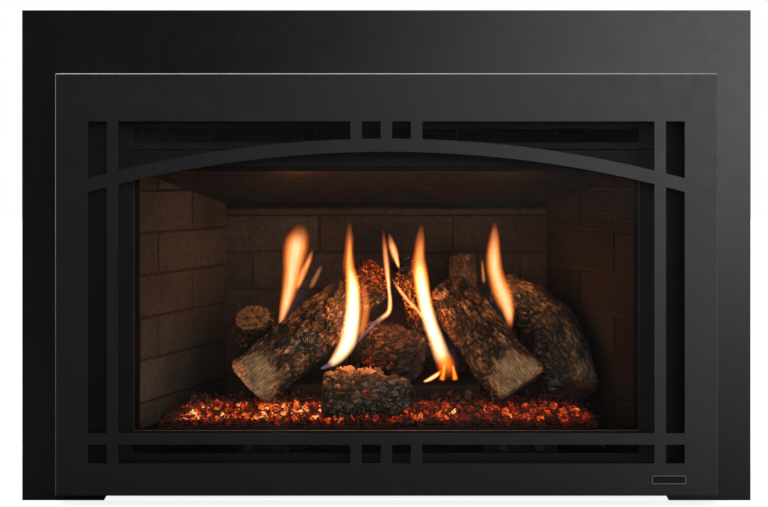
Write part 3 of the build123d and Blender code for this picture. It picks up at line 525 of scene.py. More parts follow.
# bark, bare wood, coal and glowing cracks, told apart by marks painted on each log
logTones = {
    "bark": [(0.22, (0.018, 0.01, 0.006)), (0.42, (0.078, 0.042, 0.026)), (0.6, (0.18, 0.105, 0.065)),
             (0.85, (0.5, 0.33, 0.22))],
    "barkFlakes": [(0.2, grey(0.4)), (0.8, (1.6, 1.5, 1.4))],
    "barkBlocks": [(0.1, grey(0.45)), (0.9, (1.45, 1.4, 1.35))],
    "wood": [(0.34, (0.06, 0.035, 0.02)), (0.5, (0.3, 0.2, 0.122)), (0.66, (0.56, 0.42, 0.275))],
    "coal": [(0.2, grey(0.003)), (0.7, (0.014, 0.013, 0.014)), (0.97, (0.11, 0.11, 0.12))],
    "coalFlakes": [(0.2, grey(0.3)), (0.8, grey(1.9))],
    "glow": [(0.05, grey(0)), (0.35, (0.2, 0.008, 0.001)), (0.65, (0.85, 0.09, 0.008)),
             (0.95, (1.2, 0.4, 0.06))],
    # soot is the near-black of cracks and plate gaps: partly the bark's own dark, partly painted shade in the
    # crevices
    "firelitRed": (0.85, 0.36, 0.17, 1), "stained": (0.07, 0.045, 0.03, 1), "soot": (0.006, 0.004, 0.003, 1),
}
logNoises = {  # waves in a metre, detail and roughness; a stretch draws them out along the log
    "fine": (480, 6, 0.7), "blotch": (42, 8, 0.72), "streak": (230, 6, 0.75), "veins": (190, 6, 0.8),
    "wander": 110, "wanderReach": 0.014, "plates": 85, "flakes": 260,
    "fineStretch": (0.16, 1, 1), "streakStretch": (0.35, 1, 1), "plateStretch": (0.6, 1, 1),
}


def logFinish():
    finish, tree, shader = startFinish("firedLog")[:3]
    grain = addNode(tree, "Attribute", {"attribute_name": "grain"}).outputs["Vector"]
    bare, char, warmth, crack, red, block = [
        addMark(tree, name) for name in ("bare", "char", "warmth", "crack", "red", "block")]
    fine = addNoise(tree, addStretch(tree, grain, logNoises["fineStretch"]), *logNoises["fine"])
    blotch = addNoise(tree, grain, *logNoises["blotch"])
    streak = addNoise(tree, addStretch(tree, grain, logNoises["streakStretch"]), *logNoises["streak"])
    wander = addNode(tree, "TexNoise", inputs={"Vector": grain, "Scale": logNoises["wander"], "Detail": 4})
    warped = addNode(tree, "VectorMath", {"operation": "MULTIPLY_ADD"}, {
        0: wander.outputs["Color"], 1: grey(logNoises["wanderReach"]), 2: grain})
    flat = addStretch(tree, warped.outputs[0], logNoises["plateStretch"])
    plates, flakes = [addNode(tree, "TexVoronoi", {"feature": feature}, {"Vector": flat, "Scale": scale})
                      for feature, scale in (("DISTANCE_TO_EDGE", logNoises["plates"]),
                                             ("F1", logNoises["flakes"]))]
    flakes = flakes.outputs["Color"]
    raised = addRange(tree, plates.outputs["Distance"], 0, 1, 0.03, 0.13)
    closed = addMath(tree, "MAXIMUM", bare, addRange(tree, blotch, 0, 0.9, 0.46, 0.6))
    whole = addMath(tree, "MAXIMUM", raised, closed)
    mixed = addMath(tree, "MULTIPLY_ADD", blotch, 1.1, streak)
    bark = addRamp(tree, addRange(tree, mixed, 0, 1, 0.75, 1.35), logTones["bark"])
    bark = addBlend(tree, 0.6, bark, addRamp(tree, flakes, logTones["barkFlakes"]), "MULTIPLY")
    bark = addBlend(tree, 0.6, bark, addRamp(tree, block, logTones["barkBlocks"]), "MULTIPLY")
    # the red mark lays painted firelight on the bark near the flames
    bark = addBlend(tree, red, bark, logTones["firelitRed"], "MULTIPLY")
    wood = addRamp(tree, fine, logTones["wood"])
    wood = addBlend(tree, addRange(tree, blotch, 0.7, 0, 0.38, 0.52), wood, logTones["stained"])
    coal = addRamp(tree, block, logTones["coal"])
    coal = addBlend(tree, 0.8, coal, addRamp(tree, flakes, logTones["coalFlakes"]), "MULTIPLY")
    tone = addBlend(tree, bare, bark, wood)
    # gaps between bark plates and cracks go near-black: partly the bark's own dark, partly painted shade in
    # the crevices
    tone = addBlend(tree, whole, logTones["soot"], tone)
    tone = addBlend(tree, char, tone, coal)
    tone = addBlend(tree, crack, tone, logTones["soot"])
    veins = addRange(tree, addNoise(tree, grain, *logNoises["veins"]), 0, 1, 0.49, 0.68)
    height = addMath(tree, "MULTIPLY_ADD", fine, 0.45, raised)
    height = addMath(tree, "MULTIPLY_ADD", blotch, 0.6, height)
    setInputs(tree, shader, {
        "Base Color": tone,
        "Roughness": addRange(tree, char, 0.8, 0.24, 0, 1),  # coal is glossy
        "Specular IOR Level": addRange(tree, char, 0.35, 1.0, 0, 1),
        "Emission Color": addRamp(tree, addMath(tree, "MULTIPLY", warmth, veins), logTones["glow"]),
        "Emission Strength": 1.0,
        "Normal": addBump(tree, height, addRange(tree, bare, 0.003, 0.001, 0, 1), 0.9)})
    return finish


# rows are x, depth, z and radius along a log, plates the length, width and depth of its bark's plates,
# char, warmth and red are spots of x, depth, z and reach, flats have a centre, the way they face and a reach,
# and rounded has the end, 0 or 1, and how far from it the log narrows, all in millimetres
# shadeToCoal is painted shade over a whole log, laid on by blending it toward coal
logDefaults = {"bare": 0.0, "bareStart": False, "shadeToCoal": 0.0, "glow": 0.8, "startTilt": 0.0, "endTilt": 0.0,
               "rounded": (), "flats": (), "char": (), "warmth": (), "red": ()}
logs = {
    "log_front_left": {
        "rows": [(-215, 114, 166, 43), (-112, 172, 251, 42), (-12, 230, 330, 34)],
        "plates": (24, 13, 4.6), "lumps": 4.6, "startTilt": 0.38, "glow": 1.3,
        "flats": [((-208, 82, 182), (-0.1, -0.96, 0.2), 57)],
        "char": [(-125, 118, 232, 26), (-150, 150, 165, 34), (-60, 210, 262, 30)],
        "warmth": [(-18, 205, 335, 34), (-40, 180, 320, 22), (-240, 88, 198, 16), (-232, 86, 182, 15),
                   (-219, 84, 165, 13), (-205, 84, 150, 12), (-75, 160, 240, 22)],
        "red": [(-10, 215, 335, 40)],
    },
    "log_rear_left": {
        "rows": [(-219, 194, 264, 33), (-205, 300, 120.3, 31)],
        "plates": (16, 10, 3.0), "lumps": 4.5, "bareStart": True,
        "char": [(-220, 240, 190, 40), (-234, 190, 281, 16), (-225, 188, 268, 11)],
    },
    "log_front_center": {
        "rows": [(-102, 106, 146, 36), (-40, 106, 146, 35), (42, 108, 151, 29)],
        "plates": (15, 12, 4.4), "lumps": 4.2, "rounded": [(1, 34), (0, 8)],
        "char": [(-10, 72, 140, 44), (30, 84, 152, 36), (-70, 72, 122, 24)],
        "warmth": [(-28, 72, 158, 12), (-22, 76, 168, 9)],
    },
    "log_center": {
        "rows": [(-26, 218, 221, 39), (52, 161, 197, 42)],
        "plates": (14, 11, 4.6), "lumps": 4.0, "endTilt": 0.1, "rounded": [(1, 28)], "shadeToCoal": 0.12,
        "char": [(64, 130, 190, 44), (34, 128, 168, 34)],
        "warmth": [(-30, 180, 190, 18)],
        "red": [(-24, 178, 218, 56), (16, 142, 226, 46)],
    },
    "log_upper_center": {
        "rows": [(25, 276, 354, 21), (84, 240, 190, 23)],
        "plates": (10, 8, 3.4), "lumps": 4.0, "glow": 2.4, "rounded": [(0, 12)],
        "char": [(26, 262, 358, 37)],
        "warmth": [(32, 250, 300, 26), (50, 242, 278, 26), (20, 254, 318, 14)],
        "red": [(45, 240, 290, 50)],
    },
    "log_right": {
        "rows": [(100, 236, 302, 38), (212, 112, 162, 47)],
        "plates": (26, 14, 4.4), "lumps": 4.6, "endTilt": 0.38, "glow": 1.1, "shadeToCoal": 0.05,
        "flats": [((205, 83, 184), (0.12, -0.96, 0.2), 54)],
        "char": [(128, 172, 212, 30), (150, 140, 170, 24)],
        "warmth": [(76, 205, 296, 16), (246, 88, 190, 19), (234, 86, 176, 16), (100, 190, 262, 22),
                   (112, 176, 232, 14)],
    },
    "log_right_stub": {
        "rows": [(129, 306, 363, 22), (136, 304, 266, 27)],
        "plates": (30, 7, 1.6), "lumps": 3.6, "bare": 0.8, "bareStart": True, "shadeToCoal": 0.4,
    },
    "log_right_outer": {
        "rows": [(194, 270, 300, 33), (270, 208, 250, 41), (297, 138, 150, 43)],
        "plates": (17, 12, 5.0), "lumps": 4.6, "bare": 0.45, "glow": 1.4,
        "flats": [((318, 118, 178), (0.6, -0.75, 0.2), 34)],
        "char": [(218, 210, 266, 44), (244, 168, 224, 42), (260, 120, 176, 40), (268, 100, 142, 30)],
        "warmth": [(296, 96, 152, 20), (318, 104, 150, 17)],
    },
}
# what all logs share: sizes in millimetres, and noise scales that count waves in a metre
barkLook = {"fineness": 1.7, "capRings": 9, "narrowing": 0.75, "lumpScale": 24, "roughScale": 140,
            "warp": 0.25, "split": (0.02, 0.26), "rough": 1.1, "capRough": 1.2, "capLump": 2.0,
            "hidden": 0.85, "drop": 4, "dropReach": 6, "grooveScale": (14, 260, 260), "groove": 1.6,
            "tiltReach": 0.35, "tiltWay": (0, -1, 0.3), "splitScale": 55, "capBare": 0.25, "freshBare": 0.9}
markEdges = {"char": 0.7, "flats": 0.6, "warmth": 0.91, "red": 0.7}  # how ragged the edge of each mark is


def spotMark(place, spots, wobble, low=0.65, high=1.1):
    mark = 0.0
    for x, depth, z, reach in spots:
        away = (place - at(x, depth, z)).length / (reach * mm) + wobble
        mark = max(mark, 1 - smoothStep(low, high, away))
    return mark


def makeLog(name, look, finish):
    look = {**logDefaults, **look}
    rows = look["rows"]
    seed = sum(ord(letter) for letter in name) * 0.37
    length = sum((at(*b[:3]) - at(*a[:3])).length for a, b in zip(rows, rows[1:]))
    fullRadius = max(row[3] for row in rows) * mm
    fineness = barkLook["fineness"] * mm
    bm = bmesh.new()
    addRod(bm, int(2 * math.pi * fullRadius / fineness), int(length / fineness))
    for cap in [f for f in bm.faces if len(f.verts) > 4]:
        for ring in range(barkLook["capRings"]):
            bmesh.ops.inset_individual(bm, faces=[cap], thickness=1 / (barkLook["capRings"] + 1))
        bmesh.ops.poke(bm, faces=[cap])
    sections = {}
    marks = {mark: [] for mark in ("bare", "char", "warmth", "crack", "red", "block", "grain")}
    cellLong, cellWide, cellDeep = look["plates"]
    for vert in bm.verts:
        share = vert.co.z + 0.5
        reach = min(1.0, math.hypot(vert.co.x, vert.co.y))
        turn = math.atan2(vert.co.y, vert.co.x)
        key = round(share, 4)
        if key not in sections:
            sections[key] = sectionAt(rows, share)
        middle, run, side, lift, radius = sections[key]
        for end, far in look["rounded"]:
            gone = max(0.0, 1 - abs(share - end) * length / (far * mm))
            radius *= math.sqrt(1 - barkLook["narrowing"] * gone * gone)
        outward = side * math.cos(turn) + lift * math.sin(turn)
        spot = Vector((share * length, radius * reach * math.cos(turn), radius * reach * math.sin(turn)))
        grain = spot + Vector((seed, seed * 0.3, 0))
        lump = noise.fractal(grain * barkLook["lumpScale"], 1.0, 2.0, 3)
        rough = noise.fractal(grain * barkLook["roughScale"], 0.8, 2.1, 4)
        cell = Vector((grain.x / (cellLong * mm), grain.y / (cellWide * mm), grain.z / (cellWide * mm)))
        away, centres = noise.voronoi(cell + Vector(grey(rough)) * barkLook["warp"])
        split = smoothStep(*barkLook["split"], away[1] - away[0])  # 0 in a split, 1 on a plate
        place = middle + outward * radius * reach
        wobble = 0.35 * lump + 0.2 * rough
        # a log's shadeToCoal paints shade over all of it, as coal
        char = max(look["shadeToCoal"], spotMark(place, look["char"], wobble * markEdges["char"]))
        cut = max([spotMark(place, [(*centre, size)], wobble * markEdges["flats"], 0.7, 1.0)
                   for centre, facing, size in look["flats"]], default=0.0)
        bare = look["bare"]
        endward = min(share, 1 - share) * length
        onCap = endward < 0.01 * mm and reach < 0.97
        if onCap:
            bare = max(bare, barkLook["freshBare" if look["bareStart"] and share < 0.5 else "capBare"])
            place += run * ((barkLook["capRough"] * rough + barkLook["capLump"] * lump) * mm)
        else:
            shown = 1 - barkLook["hidden"] * max(cut, bare * (0.8 if look["bareStart"] else 1) * (1 - char))
            relief = cellDeep * (1 + 0.5 * char) * (split - 0.75) + barkLook["rough"] * rough * (0.5 + split)
            relief = shown * relief + look["lumps"] * lump
            relief -= barkLook["drop"] * (1 - smoothStep(0, barkLook["dropReach"] * mm, endward))
            place += outward * (relief * mm)
        forward = outward.dot(Vector(barkLook["tiltWay"])) * radius * reach
        for end, way, tilt in ((0, -1, look["startTilt"]), (1, 1, look["endTilt"])):  # ends sawn at a slant
            near = 1 - smoothStep(0, barkLook["tiltReach"], abs(share - end))
            place += run * (forward * tilt * near * way)
        for centre, facing, size in look["flats"]:
            facing = Vector(facing).normalized()
            ahead = (place - at(*centre)).dot(facing)
            if cut > 0 and ahead > 0:
                groove = noise.noise(grain * Vector(barkLook["grooveScale"])) * barkLook["groove"] * mm
                place -= facing * (ahead - groove) * cut
        bare = max(bare, cut)
        capSplit = abs(noise.noise(spot * barkLook["splitScale"] + Vector((seed, 0, 0))))
        marks["bare"].append(bare * (1 - 0.8 * char))
        marks["char"].append(char)
        marks["warmth"].append(look["glow"] * spotMark(place, look["warmth"], wobble * markEdges["warmth"]))
        # red spots are painted firelight near the flames
        marks["red"].append(0.75 * spotMark(place, look["red"], wobble * markEdges["red"]))
        # the crack mark also carries painted shade in the splits
        marks["crack"].append(0.8 * (1 - smoothStep(0.03, 0.12, capSplit)) if onCap
                              else (1 - split) * (0.8 + 0.2 * char) * (1 - 0.8 * bare))
        marks["block"].append(noise.cell(centres[0] * 7))
        marks["grain"].append(grain)
        vert.co = place
    bmesh.ops.recalc_face_normals(bm, faces=list(bm.faces))
    piece = finishPiece(name + "_bark", bm, finish, "appliance", marks)
    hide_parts(name)


firedLog = logFinish()
for logName, look in logs.items():
    makeLog(logName, look, firedLog)
print("logs made")

# embers: a bed in front of the burner, and a heap on it behind the front log, in millimetres; profile is the
# bed's depth and height above its base at its front, crest and rear, and ends are ranges past its two ends
embers = {"left": -357, "right": 333, "front": 76, "rear": 146, "base": 101.5, "crust": 106, "under": 4,
          "bumps": 5, "profile": ((75, 7), (112, 31), (146, 34)), "ends": ((-8, 55), (-45, 8)),
          "endRise": 0.25, "chips": 2700, "small": 2.4, "large": 7.6, "seed": 5}
emberGlow = {"ends": ((2, 65), (-31, 5)), "front": (75, 87), "rear": (98, 140), "rearLoss": 0.65,
             "level": 0.74, "left": 1.05, "right": 0.76, "parting": -60, "crust": 0.3}
chipLook = {"spread": 66, "crowding": 1.5, "lift": (-2, 4), "wide": (0.45, 0.9), "thick": (0.18, 0.45),
            "jagged": 0.3, "smallShare": 0.45, "smaller": 0.6, "coolest": 0.18, "hotCrowding": 1.3,
            "flicker": 0.16, "ridge": 128, "ridgeShare": 0.6, "ridgeLift": (2, 13), "ridgeWarmth": 0.3}
heap = {"left": -97, "right": -2, "front": 147, "rear": 176, "low": 160, "high": 184, "chips": 95,
        "larger": 1.5, "warmth": 0.2, "pale": 0.9}
emberTones = {
    "glow": [(0.12, (0.002, 0, 0)), (0.34, (0.08, 0.004, 0.001)), (0.55, (0.45, 0.024, 0.002)),
             (0.76, (0.95, 0.12, 0.009)), (0.93, (1.1, 0.34, 0.045)), (1.0, (1.2, 0.7, 0.25))],
    "ash": [(0.3, (0.006, 0.004, 0.003)), (0.7, (0.045, 0.026, 0.018))],
    "frontAsh": (0.002, 0.0015, 0.0012, 1), "frontDepths": (78, 92), "pale": (0.6, 0.36, 0.19, 1),
    "strength": 1.1, "rough": 0.8, "patches": (330, 4, 0.7), "ashGrain": (260, 4),
}


def emberFinish():
    finish, tree, shader, coords = startFinish("glowingEmber")
    patch = addRange(tree, addNoise(tree, coords, *emberTones["patches"]), -0.3, 0.3)
    glow = addRamp(tree, addMath(tree, "ADD", addMark(tree, "warmth"), patch), emberTones["glow"])
    ash = addRamp(tree, addNoise(tree, coords, *emberTones["ashGrain"]), emberTones["ash"])
    front = [faceY + depth * mm for depth in emberTones["frontDepths"]]
    deep = addRange(tree, addAxis(tree, coords, "Y"), 0, 1, *front)
    ash = addBlend(tree, deep, emberTones["frontAsh"], ash)
    tone = addBlend(tree, addMark(tree, "pale"), ash, emberTones["pale"])
    setInputs(tree, shader, {"Base Color": tone, "Roughness": emberTones["rough"], "Emission Color": glow,
                             "Emission Strength": emberTones["strength"]})
    return finish


def betweenEnds(x, ends):  # 0 at the bed's ends, 1 between them
    left, right = [smoothStep(edge + span[0], edge + span[1], x)
                   for edge, span in zip((embers["left"], embers["right"]), ends)]
    return left * (1 - right)


def bedHeight(x, depth):  # the bed is lowest at its front and at both ends
    front, crest, rear = embers["profile"]
    near, far = (front, crest) if depth < crest[0] else (crest, rear)
    rise = near[1] + (depth - near[0]) / (far[0] - near[0]) * (far[1] - near[1])
    least = embers["endRise"]
    return embers["base"] + rise * (least + (1 - least) * betweenEnds(x, embers["ends"]))


def bedWarmth(x, depth):  # the glow fades at both ends and towards the front and back, and lies in patches
    fade = betweenEnds(x, emberGlow["ends"]) * smoothStep(*emberGlow["front"], depth)
    fade *= 1 - emberGlow["rearLoss"] * smoothStep(*emberGlow["rear"], depth)
    patch = emberGlow["level"] + 0.55 * noise.noise(Vector((x * 0.035, depth * 0.05, 7)))
    patch += 0.5 * noise.noise(Vector((x * 0.1, depth * 0.12, 2)))
    return fade * patch * emberGlow["left" if x < emberGlow["parting"] else "right"]


def addBed(bm):
    left, right, front, rear = [embers[side] for side in ("left", "right", "front", "rear")]
    place = Matrix.Translation(at((left + right) / 2, (front + rear) / 2, embers["base"] + 0.1))
    size = Matrix.Diagonal(((right - left) * mm, (rear - front) * mm, 1, 1))
    bmesh.ops.create_grid(bm, x_segments=230, y_segments=24, size=0.5, matrix=place @ size)
    top = bmesh.ops.extrude_face_region(bm, geom=list(bm.faces), use_keep_orig=True)
    for vert in [v for v in top["geom"] if isinstance(v, bmesh.types.BMVert)]:
        height = bedHeight(vert.co.x / mm, (vert.co.y - faceY) / mm) - embers["under"]
        vert.co.z = (height + embers["bumps"] * noise.fractal(vert.co * 90, 1.0, 2.0, 3)) * mm
    bmesh.ops.recalc_face_normals(bm, faces=list(bm.faces))


def makeEmbers():
    random.seed(embers["seed"])
    bm = bmesh.new()
    addBed(bm)
    warmthLayer, paleLayer = [bm.verts.layers.float.new(name) for name in ("warmth", "pale")]
    for vert in bm.verts:
        own = emberGlow["crust"] * bedWarmth(vert.co.x / mm, (vert.co.y - faceY) / mm)
        vert[warmthLayer] = own if vert.co.z > embers["crust"] * mm else 0.0
    for count in range(embers["chips"] + heap["chips"]):
        onBed = count < embers["chips"]
        if onBed:
            x = random.uniform(embers["left"] + 4, embers["right"] - 4)
            depth = embers["front"] + 2 + chipLook["spread"] * random.random() ** chipLook["crowding"]
            z = bedHeight(x, depth) + random.uniform(*chipLook["lift"])
            warmth = bedWarmth(x, depth)
            if depth > chipLook["ridge"] and random.random() < chipLook["ridgeShare"]:  # burnt lumps
                z += random.uniform(*chipLook["ridgeLift"])
                warmth *= chipLook["ridgeWarmth"]
        else:
            x = random.uniform(heap["left"] + 5, heap["right"] - 5)
            depth = random.uniform(heap["front"] + 4, heap["rear"] - 4)
            z = random.uniform(heap["low"] + 3, heap["high"] - 2)
            warmth = heap["warmth"]
        size = random.uniform(embers["small"], embers["large"]) * (1.0 if onBed else heap["larger"])
        if random.random() < chipLook["smallShare"]:
            size *= chipLook["smaller"]
        turn = Matrix.Rotation(random.uniform(0, 6.3), 4,
                               Vector((random.random(), random.random(), 0.3 + random.random())))
        flat = (1, random.uniform(*chipLook["wide"]), random.uniform(*chipLook["thick"]))
        shape = Matrix.Diagonal((*[size * share * mm for share in flat], 1))
        made = bmesh.ops.create_icosphere(bm, subdivisions=1, radius=1,
                                          matrix=Matrix.Translation(at(x, depth, z)) @ turn @ shape)
        own = warmth * (chipLook["coolest"] + random.random() ** chipLook["hotCrowding"])
        jag = chipLook["jagged"]
        for vert in made["verts"]:
            vert.co += Vector([random.uniform(-jag, jag) * size * mm for axis in range(3)])
            vert[warmthLayer] = own + chipLook["flicker"] * random.uniform(-1, 1)
            vert[paleLayer] = 0.0 if onBed else heap["pale"]
    piece = finishPiece("ember_chips", bm, emberFinish(), "appliance", smooth=False)
    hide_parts("ember_bed")


makeEmbers()
print("embers made")

# flames: rows are x, z and half width from root to tip, in millimetres; as shares of the height, rise is
# where a flame is fully lit, fade where its tip starts to die and gone where it ends, and blue and amber are
# how far up the root has that colour; rest is the light left in the tip, and tint and pale are how orange and
# how white the whole flame is
flameDefaults = {"rise": 0.15, "gone": 1.02, "rest": 0.0, "blue": 0.0, "amber": 0.0, "tint": 0.0, "pale": 0.0}
flames = {
    "leftTall": {"depth": 190, "bright": 0.6, "tint": 0.3, "rise": 0.3, "fade": 0.74, "blue": 0.06, "rows": [
        (-175, 240, 1.6), (-172, 258, 4.4), (-166, 280, 8.0), (-159, 306, 12.4), (-154, 332, 16.6),
        (-151, 358, 19.0), (-147, 382, 19.0), (-142, 400, 14.6), (-139, 420, 4.4)]},
    "leftLobe": {"depth": 186, "bright": 0.4, "tint": 0.7, "fade": 0.5, "rows": [
        (-147, 308, 3.2), (-136, 336, 6.2), (-126, 358, 5.2), (-119, 378, 1.0)]},
    "leftWisp": {"depth": 200, "bright": 0.1, "tint": 0.4, "fade": 0.6, "rows": [
        (-126, 308, 2.4), (-117, 326, 5.2), (-110, 340, 4.2), (-104, 352, 1.0)]},
    "leftHaze": {"depth": 204, "bright": 0.24, "fade": 0.25, "blue": 2, "rows": [
        (-170, 252, 4), (-157, 276, 11), (-143, 300, 15), (-126, 322, 14), (-108, 350, 6), (-98, 366, 1)]},
    "middleWhite": {"depth": 140, "bright": 1.9, "pale": 0.5, "rise": 0.5, "fade": 0.56, "gone": 0.84,
                    "rest": 0.12, "blue": 0.06, "rows": [
        (-97, 190, 2.1), (-85, 198, 6.8), (-71, 214, 10.8), (-60, 236, 12.8), (-54, 272, 13.2),
        (-53, 305, 12.8), (-55, 329, 10.2), (-58, 353, 6.4), (-59, 377, 3.6), (-60, 398, 0.8)]},
    "middleFoot": {"depth": 138, "bright": 2.6, "fade": 0.6, "blue": 2, "rows": [
        (-106, 187, 1.2), (-96, 191, 3.2), (-86, 198, 4.2), (-74, 210, 2.5)]},
    "middleLobe": {"depth": 150, "bright": 0.24, "tint": 0.9, "fade": 0.5, "rows": [
        (-46, 232, 4), (-37, 258, 7), (-33, 284, 8), (-35, 308, 6), (-40, 332, 1.5)]},
    "middleTip": {"depth": 146, "bright": 0.22, "tint": 0.8, "fade": 0.4, "rows": [
        (-55, 312, 6.4), (-60, 354, 4.8), (-58, 384, 3.2), (-60, 407, 0.8)]},
    "middleVeil": {"depth": 147, "bright": 0.22, "tint": 0.85, "fade": 0.5, "rows": [
        (-57, 325, 8), (-60, 350, 9.5), (-60, 376, 8.5), (-59, 400, 6), (-60, 425, 1.5)]},
    "threadTall": {"depth": 150, "bright": 0.55, "fade": 0.6, "blue": 0.3, "rows": [
        (-42, 232, 1.6), (-30, 247, 2.4), (-14, 262, 3.4), (3, 276, 4.4), (6, 293, 4.2), (4, 315, 3.5),
        (1, 344, 4.8), (-2, 376, 4.2), (-4, 395, 2.9), (-5, 415, 0.8)]},
    "threadFoot": {"depth": 148, "bright": 1.9, "fade": 0.8, "blue": 2, "rows": [
        (-60, 212, 1.0), (-46, 230, 2.2), (-30, 248, 3.0), (-14, 263, 3.2), (0, 275, 2.0)]},
    "behindTip": {"depth": 252, "bright": 0.6, "tint": 0.2, "fade": 0.5, "rows": [
        (22, 338, 1.0), (17, 354, 4.4), (12, 370, 7.6), (8, 384, 5.6), (4, 402, 1.0)]},
    "threadLow": {"depth": 196, "bright": 0.42, "tint": 0.3, "fade": 0.7, "rows": [
        (62, 258, 2.0), (50, 276, 3.2), (35, 292, 3.8), (19, 312, 3.2), (8, 330, 1.0)]},
    "centreWhite": {"depth": 150, "bright": 1.7, "pale": 0.45, "rise": 0.55, "fade": 0.6, "gone": 0.86,
                    "rest": 0.15, "amber": 0.17, "rows": [
        (98, 169, 13.0), (96, 190, 13.4), (88, 209, 12.0), (81, 230, 11.2), (71, 257, 11.4), (63, 286, 12.2),
        (58, 314, 12.0), (55, 341, 10.8), (55, 363, 7.4), (57, 384, 4.5), (58, 407, 0.8)]},
    "centreVeil": {"depth": 156, "bright": 0.3, "tint": 0.8, "fade": 0.5, "rows": [
        (52, 318, 8), (51, 345, 11), (52, 370, 10), (55, 395, 7), (57, 422, 2)]},
    "centreLobe": {"depth": 154, "bright": 0.28, "tint": 0.7, "fade": 0.4, "rows": [
        (54, 299, 6.4), (48, 328, 4.8), (44, 353, 1.0)]},
    "centreHaze": {"depth": 152, "bright": 0.22, "fade": 0.3, "blue": 2, "rows": [
        (116, 184, 3), (108, 206, 5), (100, 224, 4), (94, 238, 1)]},
    "jetLeft": {"depth": 136, "bright": 0.6, "fade": 0.6, "amber": 0.9, "rows": [
        (88, 168, 4.4), (91, 182, 3.8), (93, 199, 0.8)]},
    "jetRight": {"depth": 138, "bright": 0.6, "fade": 0.6, "amber": 0.9, "rows": [
        (110, 168, 4.8), (108, 182, 3.6), (105, 196, 0.8)]},
    "licker": {"depth": 126, "bright": 0.7, "fade": 0.7, "rows": [
        (58, 168, 1.4), (66, 171, 3.0), (75, 176, 4.4), (82, 181, 3.2), (88, 188, 0.8)]},
    "rightTall": {"depth": 190, "bright": 0.58, "tint": 0.3, "fade": 0.6, "blue": 0.04, "rows": [
        (202, 240, 1.8), (201, 260, 6.2), (198, 279, 11.0), (192, 297, 15.0), (184, 317, 16.0),
        (177, 341, 14.6), (175, 366, 12.0), (176, 390, 8.6), (177, 410, 4.8), (178, 424, 0.8)]},
    "rightHaze": {"depth": 196, "bright": 0.24, "fade": 0.25, "blue": 2, "rows": [
        (199, 246, 3), (187, 268, 8), (174, 292, 12), (164, 318, 9), (158, 350, 2)]},
    "rightWisp": {"depth": 228, "bright": 0.14, "tint": 0.4, "fade": 0.5, "rows": [
        (162, 316, 2.5), (160, 339, 3.6), (158, 361, 0.8)]},
}
# each flame is a nest of clear skins: share of the width, and the light that the skin adds
flameSkins = [(1.0, (0.04, 0.007, 0.0003)), (0.93, (0.09, 0.019, 0.0013)), (0.85, (0.17, 0.042, 0.005)),
              (0.76, (0.25, 0.075, 0.012)), (0.66, (0.35, 0.14, 0.034)), (0.54, (0.35, 0.22, 0.09)),
              (0.4, (0.3, 0.27, 0.18)), (0.24, (0.25, 0.28, 0.26))]
flameLook = {"sides": 14, "ringsPerRow": 5, "thinnest": 0.3, "swell": 1.14, "wave": 0.1, "flat": 0.55,
             "streaks": (150, 2), "streakStretch": (1, 1, 0.1), "thin": (0.7, 1.15),
             "blue": (0.0038, 0.0034, 0.0046, 1), "amber": (1.1, 0.5, 0.12),  # amber as shares of the light
             "paleGreen": 0.6, "paleBlue": 0.36}  # the least that a pale flame has, as shares of its red


def flameFinish(name, added):
    finish = bpy.data.materials.new(name)
    finish.cycles.emission_sampling = "NONE"  # the fire lamps below do the lighting
    tree = startTree(finish)
    red, green, blue = added
    paler = (red, max(green, red * flameLook["paleGreen"]), max(blue, red * flameLook["paleBlue"]), 1)
    amber = (*[part * share for part, share in zip(added, flameLook["amber"])], 1)
    colour = addBlend(tree, addMark(tree, "pale"), (*added, 1), paler)
    colour = addBlend(tree, addMark(tree, "amber"), colour, amber)
    colour = addBlend(tree, addMark(tree, "blue"), colour, flameLook["blue"])
    drawn = addStretch(tree, addCoords(tree), flameLook["streakStretch"])
    streaks = addNoise(tree, drawn, *flameLook["streaks"])
    power = addMath(tree, "MULTIPLY", addMark(tree, "glow"), addRange(tree, streaks, *flameLook["thin"]))
    light = addNode(tree, "Emission", inputs={"Color": colour, "Strength": power})
    clear = addNode(tree, "BsdfTransparent")
    addSurface(tree, addNode(tree, "AddShader", inputs={0: clear.outputs[0], 1: light.outputs[0]}))
    return finish


def rootMark(reach, full, share):  # 1 at the root, 0 above its reach
    return 1 - smoothStep(reach * full, reach + 0.001, share) if reach else 0.0


def flameMarks(flame, share):
    fade = smoothStep(-0.03, 0.1, share) * (0.3 + 0.7 * smoothStep(0, flame["rise"], share))
    fade *= 1 - smoothStep(flame["fade"], flame["gone"], share)
    rest = flame["rest"] * (1 - smoothStep(0.8, 1.02, share)) * smoothStep(0, 0.2, share)
    orangeTip = 0.8 * smoothStep(flame["fade"] - 0.1, 1.0, share)
    return {
        "glow": flame["bright"] * max(fade, rest),
        "amber": max(orangeTip, flame["tint"], rootMark(flame["amber"], 0.7, share)),
        "blue": rootMark(flame["blue"], 0.6, share),
        "pale": flame["pale"] * (1 - smoothStep(flame["fade"] - 0.2, flame["fade"] + 0.1, share)),
    }


